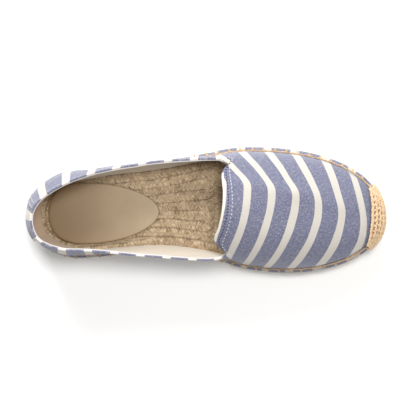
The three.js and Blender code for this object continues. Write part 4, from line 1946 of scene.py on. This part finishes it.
@dataclass(eq=False)
class JuteSole(SubAssembly):
    """Core, coiled footbed braid and the braid round the side."""

    CORE = (
        HemRow(inset=3.2, rise=-14.6),
        HemRow(inset=2.6, rise=-10.0),
        HemRow(inset=3.0, rise=-5.0),
        HemRow(inset=4.0, rise=-2.6),
        HemRow(inset=8.0, rise=-1.3),
        HemRow(inset=12.0, rise=-0.9),
    )
    LASTING = Bead(pitch=7.1, length=1.2, width=2.8, height=1.5)

    sizes: BraidSizes = BraidSizes()

    def build(self) -> None:
        """Build the core and every braid."""
        self._core()
        self._footbed()
        self._side()
        self._edge_stitches()

    def _core(self) -> None:
        """The mass of the sole, below the braid that shows."""
        rows = len(self.CORE) - 1

        def place(s: float, t: float) -> Vector:
            """Point of the core."""
            index = min(int(t * rows + 1e-6), rows - 1)
            share = t * rows - index
            low, high = self.CORE[index], self.CORE[index + 1]
            p = self.outline.inset(2.0 * s, lerp(low.inset, high.inset, share))
            z = self.outline.sizes.footbed + lerp(low.rise, high.rise, share)
            return Vector((p.x, p.y, z + self.outline.lift(p.x)))

        core = (self.finishes.jute_core,)
        weave = lambda s, t: (s * 600.0, t * 30.0)
        piece = self.shop.net("jute_core", 220, rows * 2, place, weave, core, fill=True)
        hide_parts("jute_sole")

    def _braid(
        self,
        name: str,
        path: Path,
        across_of: Callable[[Vector, Vector], Vector],
        width_at: Callable[[Vector], float],
        height: float,
    ) -> None:
        """Plait one length of braid.

        Args:
            name: Name of the piece.
            path: Its middle line, with outward directions.
            across_of: Direction across it, from its run and outward directions.
            width_at: Its width at a point of the middle line.
            height: How far it stands up.
        """
        sizes = self.sizes
        seed = path.length * 3.7

        def beat_at(d: float, side: float) -> float:
            """Height of the plait's beat."""
            slant = abs(side) * 0.5 + (0.5 if side > 0.0 else 0.0)
            own = noise.noise(Vector((d * 0.35, seed, 0.0))) * 0.35
            return math.sin(math.pi * (d / sizes.plait + slant + own))

        def depth(s: float, t: float) -> float:
            """Painted shade between rows and between plaits, patchy along the braid."""
            d = s * path.length
            side = math.sin(math.pi * (t - 0.5))
            row = sizes.row_shade * smooth(0.66, 1.0, abs(side))
            patch = 0.55 + 1.5 * noise.noise(Vector((d * 0.13, seed, 7.0)))
            plait = sizes.plait_shade * (1.0 - abs(beat_at(d, side))) ** 3
            return clamp((row + plait) * patch, 0.0, 1.0)

        def place(s: float, t: float) -> Vector:
            """Point of the braid."""
            d = s * path.length
            at, out = path.at(d)
            across = across_of(path.run(d), out)
            angle = math.pi * (t - 0.5)
            side = math.sin(angle)
            beat = beat_at(d, side)
            crown = max(math.cos(angle), 0.0)
            lump = sizes.relief * (abs(beat) ** 0.6 - 0.5) * crown**0.5
            loose = noise.noise(Vector((d * 0.16, side * 1.2, seed))) * 0.3
            loose += noise.noise(Vector((d * 0.9, side * 2.6, seed))) * 0.22
            wander = noise.noise(Vector((d * 0.07, seed, 3.0))) * 0.5
            half = width_at(at) / 2.0 * (1.0 + 0.035 * beat)
            stand = height * crown**sizes.flatness + (lump + loose) * crown
            return at + across * (side * half + wander) + out * stand

        def lay(s: float, t: float) -> tuple[float, float]:
            """Pattern coordinates, slanted to both sides of the middle."""
            d = s * path.length
            aside = math.sin(math.pi * (t - 0.5)) * width_at(path.at(d)[0]) / 2.0
            other = 53.0 if aside > 0.0 else 0.0
            return abs(aside) + 0.45 * d + seed + other, d - 0.55 * abs(aside) + other

        jute = (self.finishes.jute,)
        columns = max(6, int(path.length / sizes.step))
        piece = self.shop.net(name, columns, sizes.across, place, lay, jute, depth=depth)

    def _flat(self, points: Iterable[Vector], rise: float) -> Path:
        """Path on the footbed."""
        level = self.outline.sizes.footbed - self.sizes.height - 0.1 + rise
        return Path(Vector((p.x, p.y, level + self.outline.lift(p.x))) for p in points)

    def _strand(self, share: float, x: float) -> Vector:
        """Point across the room between the second rows: 0 medial, 1 lateral."""
        return Vector((x, lerp(*self._room(x), share)))

    def _room(self, x: float) -> tuple[float, float]:
        """Inner edges of the second row.

        Args:
            x: Place along the shoe.

        Returns:
            Y on the medial side and on the lateral side.
        """
        outline = self.outline
        along = x / outline.sizes.length + 0.5
        reach = self.sizes.rim_inset + self.sizes.width * 1.5
        medial = outline.edge_y(outline.MEDIAL, along) + reach
        return medial, outline.edge_y(outline.LATERAL, along) - reach

    def _strand_width(self, at: Vector) -> float:
        """Width of one of the strands between the second rows."""
        low, high = self._room(min(at.x, 0.0))
        return (high - low) / self.sizes.strands * 1.04

    def _row(
        self,
        name: str,
        line: Sequence[Vector],
        width_at: Callable[[Vector], float] | None = None,
        rise: float = 0.0,
    ) -> None:
        """One row of braid on the footbed.

        Args:
            name: What to call it.
            line: Its middle line, seen from above.
            width_at: Its width at a point; the plain braid's if left out.
            rise: How far above the other rows it lies.
        """
        if len(line) > 3:
            width_at = width_at or (lambda at: self.sizes.width)
            across = lambda run, out: out.cross(run).normalized()
            path = self._flat(line, rise)
            self._braid(f"jute_row_{name}", path, across, width_at, self.sizes.height)

    def _footbed(self) -> None:
        """The coiled rows that show inside the shoe."""
        sizes = self.sizes
        inset = self.outline.inset
        plain, front = sizes.width, sizes.front
        self._row("rim", [self._rim_point(2.0 * i / 400) for i in range(401)])
        turns = spread(turn_of(Side.MEDIAL, 0.62), 2.0 + turn_of(Side.LATERAL, 0.62), 400)
        inner = [p for p in (inset(t, sizes.rim_inset + plain) for t in turns) if p.x < front - 5.0]
        first, last = inner[0], inner[-1]
        cross = [Vector((front, y)) for y in spread(last.y - 5.0, first.y + 5.0, 20)]
        corner_a = self._bend(last, Vector((front, last.y)), cross[0])
        corner_b = self._bend(cross[-1], Vector((front, first.y)), first)
        self._row("waist", [*inner, *corner_a, *cross, *corner_b])
        self._row("lateral_loop", self._loop(0.7, 0.9), self._strand_width)
        self._row("medial_loop", self._loop(0.1, 0.3), self._strand_width)
        self._row("middle", [self._strand(0.5, x) for x in range(-96, 5)], self._strand_width, -0.1)
        turns = spread(turn_of(Side.LATERAL, 0.55), turn_of(Side.MEDIAL, 0.55), 200)
        for i in range(4):
            row = [inset(turn, sizes.rim_inset + plain * (i + 1)) for turn in turns]
            self._row(f"fore_{i}", [p for p in row if p.x > front + plain * 0.6])

    def _rim_point(self, turn: float) -> Vector:
        """Middle of the outermost row, which is pushed out along the inner side of the heel.

        Args:
            turn: Turn round the sole.

        Returns:
            X and Y.
        """
        sizes = self.sizes
        x = self.outline.edge(turn).x
        pushed = smooth(-104.0, -88.0, x) * (1.0 - smooth(sizes.push_from, sizes.push_to, x))
        share = pushed if turn % 2.0 > 1.0 else 0.0
        return self.outline.inset(turn, sizes.rim_inset - sizes.push * share)

    @staticmethod
    def _bend(a: Vector, corner: Vector, b: Vector) -> list[Vector]:
        """Points of a bend from one point to another, rounding a corner."""
        shares = [i / 8 for i in range(1, 8)]
        return [a.lerp(corner, s).lerp(corner.lerp(b, s), s) for s in shares]

    def _loop(self, low: float, high: float) -> list[Vector]:
        """A braid that runs forward, turns back on itself and returns.

        Args:
            low: Share across of its medial strand.
            high: Share across of its lateral strand.

        Returns:
            Points of its middle line.
        """
        start = self.sizes.loop_start
        radius = (self._strand(high, 0.0) - self._strand(low, 0.0)).length / 2.0
        stop = int(self.sizes.loop_reach - radius)
        out = [self._strand(low, x) for x in range(start, stop)]
        back = [self._strand(high, x) for x in range(stop - 1, start - 1, -1)]
        centre = (out[-1] + back[0]) / 2.0
        angles = [-math.pi / 2.0 + math.pi * i / 16 for i in range(1, 16)]
        bend = [centre + Vector((math.cos(a) * 1.15, math.sin(a))) * radius for a in angles]
        return [*out, *bend, *back]

    def _side(self) -> None:
        """The row that shows round the side, below the hem."""
        sizes = self.sizes
        points, out = [], []
        for turn in (2.0 * i / 500 for i in range(501)):
            p = self.outline.inset(turn, sizes.side_inset)
            points.append(Vector((p.x, p.y, sizes.side_level + self.outline.lift(p.x))))
            inward = self.outline.inward(turn)
            out.append(Vector((-inward.x, -inward.y, 0.0)))
        across, width = (lambda run, outward: UP), (lambda at: sizes.side_width)
        self._braid("jute_row_side", Path(points, out), across, width, sizes.side_height)

    def _edge_stitches(self) -> None:
        """Small stitches of the lasting thread along the inside of the medial wall."""
        sizes = self.sizes
        row = StitchRow(self.shop, "lasting_stitch")
        points = []
        for turn in spread(turn_of(Side.MEDIAL, 0.62), turn_of(Side.MEDIAL, 0.19), 100):
            middle = self._rim_point(turn)
            out = self.outline.inset(turn, 0.0) - middle
            p = middle + out.normalized() * (sizes.rim_inset - sizes.thread_inset)
            points.append(Vector((p.x, p.y, sizes.thread_level)))
        row.sew(Path(points), self.LASTING)
        row.done((self.finishes.orange_thread,))


# ---- heel sock ----
@dataclass(frozen=True)
class SockSizes:
    """Outline and thickness of the heel sock."""

    back: float = -111.0
    widest: float = -86.0
    tip: float = -33.0
    lateral: float = 19.0
    medial: float = -24.0
    tip_y: float = -1.5
    thick: float = 1.6
    above: float = 0.25
    handle: float = 0.56
    heel_handle: float = 0.66
    crown_rows: int = 16
    rim_rows: int = 5
    under_rows: int = 4
    rim_from: float = 0.985
    dish: float = 0.3


@dataclass(eq=False)
class HeelSock(SubAssembly):
    """The leather pad on the back of the footbed."""

    sizes: SockSizes = SockSizes()

    @staticmethod
    def _cubic(a: Vector, b: Vector, c: Vector, d: Vector, s: float) -> Vector:
        """Point of a Bezier curve from a to d, at a share along it."""
        r = 1.0 - s
        return a * r**3 + b * (3 * r * r * s) + c * (3 * r * s * s) + d * s**3

    def edge(self, s: float) -> Vector:
        """Point of the sock's outline.

        Args:
            s: Share of the way round, from the back by the lateral side.

        Returns:
            X and Y.
        """
        k = self.sizes
        mid = (k.lateral + k.medial) / 2.0
        rear, fore = k.widest - k.back, k.tip - k.widest
        lateral = s <= 0.5
        y = k.lateral if lateral else k.medial
        t = s * 4.0 if lateral else (1.0 - s) * 4.0
        widest = Vector((k.widest, y))
        if t <= 1.0:
            behind = Vector((k.back, mid + (y - mid) * k.heel_handle))
            beside = Vector((k.widest - rear * k.heel_handle, y))
            return self._cubic(Vector((k.back, mid)), behind, beside, widest, t)
        beside = Vector((k.widest + fore * k.handle, y))
        ahead = Vector((k.tip, k.tip_y + (k.lateral - k.tip_y) * (0.5 if lateral else -0.5)))
        return self._cubic(widest, beside, ahead, Vector((k.tip, k.tip_y)), t - 1.0)

    def build(self) -> None:
        """Build the pad: a rounded edge, a soft crown and a flat underside."""
        k = self.sizes
        centre = Vector(((k.back + k.tip) / 2.0, (k.lateral + k.medial) / 2.0))
        level = self.outline.sizes.footbed + k.above
        crown, rim = k.crown_rows, k.rim_rows
        rows = crown + rim + k.under_rows

        def place(s: float, t: float) -> Vector:
            """Point of the pad."""
            edge = self.edge(s)
            row = t * rows
            if row <= crown:
                reach = (row / crown) ** 0.8
                p = centre.lerp(edge, reach * k.rim_from)
                soft = noise.noise(Vector((p.x, p.y, 0.0)) * 0.045) * 0.15
                soft += noise.noise(Vector((p.x, p.y, 7.0)) * 0.12) * 0.08
                soft *= 1.0 - smooth(0.85, 1.0, reach)
                dish = -k.dish * (1.0 - smooth(0.0, 0.9, reach))
                return Vector((p.x, p.y, level + k.thick + soft + dish))
            if row <= crown + rim:
                angle = math.pi * (row - crown) / rim
                p = centre.lerp(edge, k.rim_from + (1.0 - k.rim_from) * math.sin(angle))
                return Vector((p.x, p.y, level + k.thick * (0.5 + 0.5 * math.cos(angle))))
            p = centre.lerp(edge, (1.0 - (row - crown - rim) / k.under_rows) * k.rim_from)
            return Vector((p.x, p.y, level))

        leathers = (self.finishes.sock, self.finishes.sock_edge)
        grain = lambda s, t: (s * 200.0, t * 40.0)
        # The rim and underside take the dark edge finish: painted shade round the pad.
        slot = lambda s, t: int(t * rows > crown + 0.6)
        piece = self.shop.net("heel_sock_pad", 120, rows, place, grain, leathers, slot)
        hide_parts("heel_sock")


# ---- the room ----
@dataclass(frozen=True)
class CameraSizes:
    """Where the camera stands, in metres from the shoe's origin."""

    place: tuple[float, float, float] = (-0.0003, 0.0142, 0.790)
    target: tuple[float, float, float] = (0.0, 0.0015, 0.020)
    lens: float = 94.8
    sensor: float = 36.0
    clip: tuple[float, float] = (0.05, 20.0)


@dataclass(frozen=True)
class LampSizes:
    """A soft box."""

    name: str
    place: tuple[float, float, float]
    size: float
    power: float
    colour: Colour


class Studio:
    """A pale floor, soft boxes and the camera."""

    LAMPS = (
        LampSizes("key", (0.12, 0.23, 1.1), size=0.3, power=9.2, colour=(1.0, 0.99, 0.975)),
        LampSizes("window", (-0.25, 1.05, 0.6), size=0.7, power=18.5, colour=(1.0, 0.995, 0.985)),
        LampSizes("fill", (0.5, -0.7, 0.8), size=0.6, power=2.6, colour=(1.0, 0.985, 0.96)),
    )
    WORLD = 0.335
    WHITE = (1.0, 1.0, 1.0, 1.0)
    FLOOR = (0.83, 0.83, 0.825, 1.0)
    FLOOR_GLOW = 0.05
    FLOOR_BELOW = 0.0002

    def build(self) -> None:
        """Build the room."""
        self._floor()
        for lamp in self.LAMPS:
            self._lamp(lamp)
        world = bpy.data.worlds.new("room")
        world.use_nodes = True
        background = world.node_tree.nodes["Background"]
        background.inputs["Color"].default_value = self.WHITE
        background.inputs["Strength"].default_value = self.WORLD
        bpy.context.scene.world = world
        bpy.context.scene.view_settings.view_transform = "Standard"
        self._camera(CameraSizes())

    def _floor(self) -> None:
        """A wide pale floor."""
        bm = bmesh.new()
        bmesh.ops.create_grid(bm, x_segments=1, y_segments=1, size=4.0)
        mesh = bpy.data.meshes.new("floor")
        bm.to_mesh(mesh)
        bm.free()
        material, _, shader = new_material("pale floor")
        shader.inputs["Base Color"].default_value = self.FLOOR
        shader.inputs["Emission Color"].default_value = self.WHITE
        shader.inputs["Emission Strength"].default_value = self.FLOOR_GLOW
        shader.inputs["Roughness"].default_value = 0.9
        mesh.materials.append(material)
        floor = new_object("floor", mesh)
        floor.location.z = -self.FLOOR_BELOW

    def _lamp(self, sizes: LampSizes) -> None:
        """One soft box, aimed at the shoe.

        Args:
            sizes: The lamp.
        """
        light = bpy.data.lights.new(sizes.name, "AREA")
        light.shape = "SQUARE"
        light.size = sizes.size
        light.energy = sizes.power
        light.color = sizes.colour
        lamp = new_object(sizes.name, light)
        lamp.location = sizes.place
        lamp.rotation_euler = (-Vector(sizes.place)).to_track_quat("-Z", "Y").to_euler()

    def _camera(self, sizes: CameraSizes) -> None:
        """The camera, nearly straight above the shoe.

        Args:
            sizes: Its place, aim and lens.
        """
        data = bpy.data.cameras.new("camera")
        data.lens = sizes.lens
        data.sensor_width = sizes.sensor
        data.clip_start, data.clip_end = sizes.clip
        camera = new_object("camera", data)
        camera.location = sizes.place
        z = (Vector(sizes.place) - Vector(sizes.target)).normalized()
        x = Vector((0.0, 1.0, 0.0)).cross(z).normalized()
        camera.rotation_mode = "QUATERNION"
        camera.rotation_quaternion = Matrix((x, z.cross(x), z)).transposed().to_quaternion()
        bpy.context.scene.camera = camera


def form_middle(outline: SoleOutline) -> Vector:
    """Find the frame's origin in the form's own millimetres, from the CAD sole's box.

    Args:
        outline: The sole's outline.

    Returns:
        The shift in millimetres.
    """
    low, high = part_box("jute_sole")
    ys = [outline.inset(2.0 * i / 2000, 0.9).y for i in range(2000)]
    own_y = (min(ys) + max(ys)) / 2.0
    return Vector((-(low[0] + high[0]) / 2.0 / MM, own_y - (low[1] + high[1]) / 2.0 / MM, 0.0))


def main() -> None:
    """Load the frame, build the shoe on it, and stand it in the room."""
    logging.basicConfig(level=logging.INFO)
    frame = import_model()
    finishes = Finishes()
    form = CanvasForm(SoleOutline(SoleSizes()))
    shop = Workshop(form_middle(form.outline))
    LOG.info("form's middle %s", tuple(round(v, 3) for v in shop.middle))
    outsole = frame["nodes"]["outsole"]
    outsole.data.materials.clear()
    outsole.data.materials.append(finishes.rubber)
    Upper(shop, form, finishes).build()
    wrap = ToeWrap(shop, form, finishes)
    wrap.build()
    BlanketStitch(shop, form, finishes).build(wrap.end + 0.006, 2.0 + wrap.start - 0.006)
    JuteSole(shop, form, finishes).build()
    HeelSock(shop, form, finishes).build()
    Studio().build()


if __name__ == "__main__":
    main()
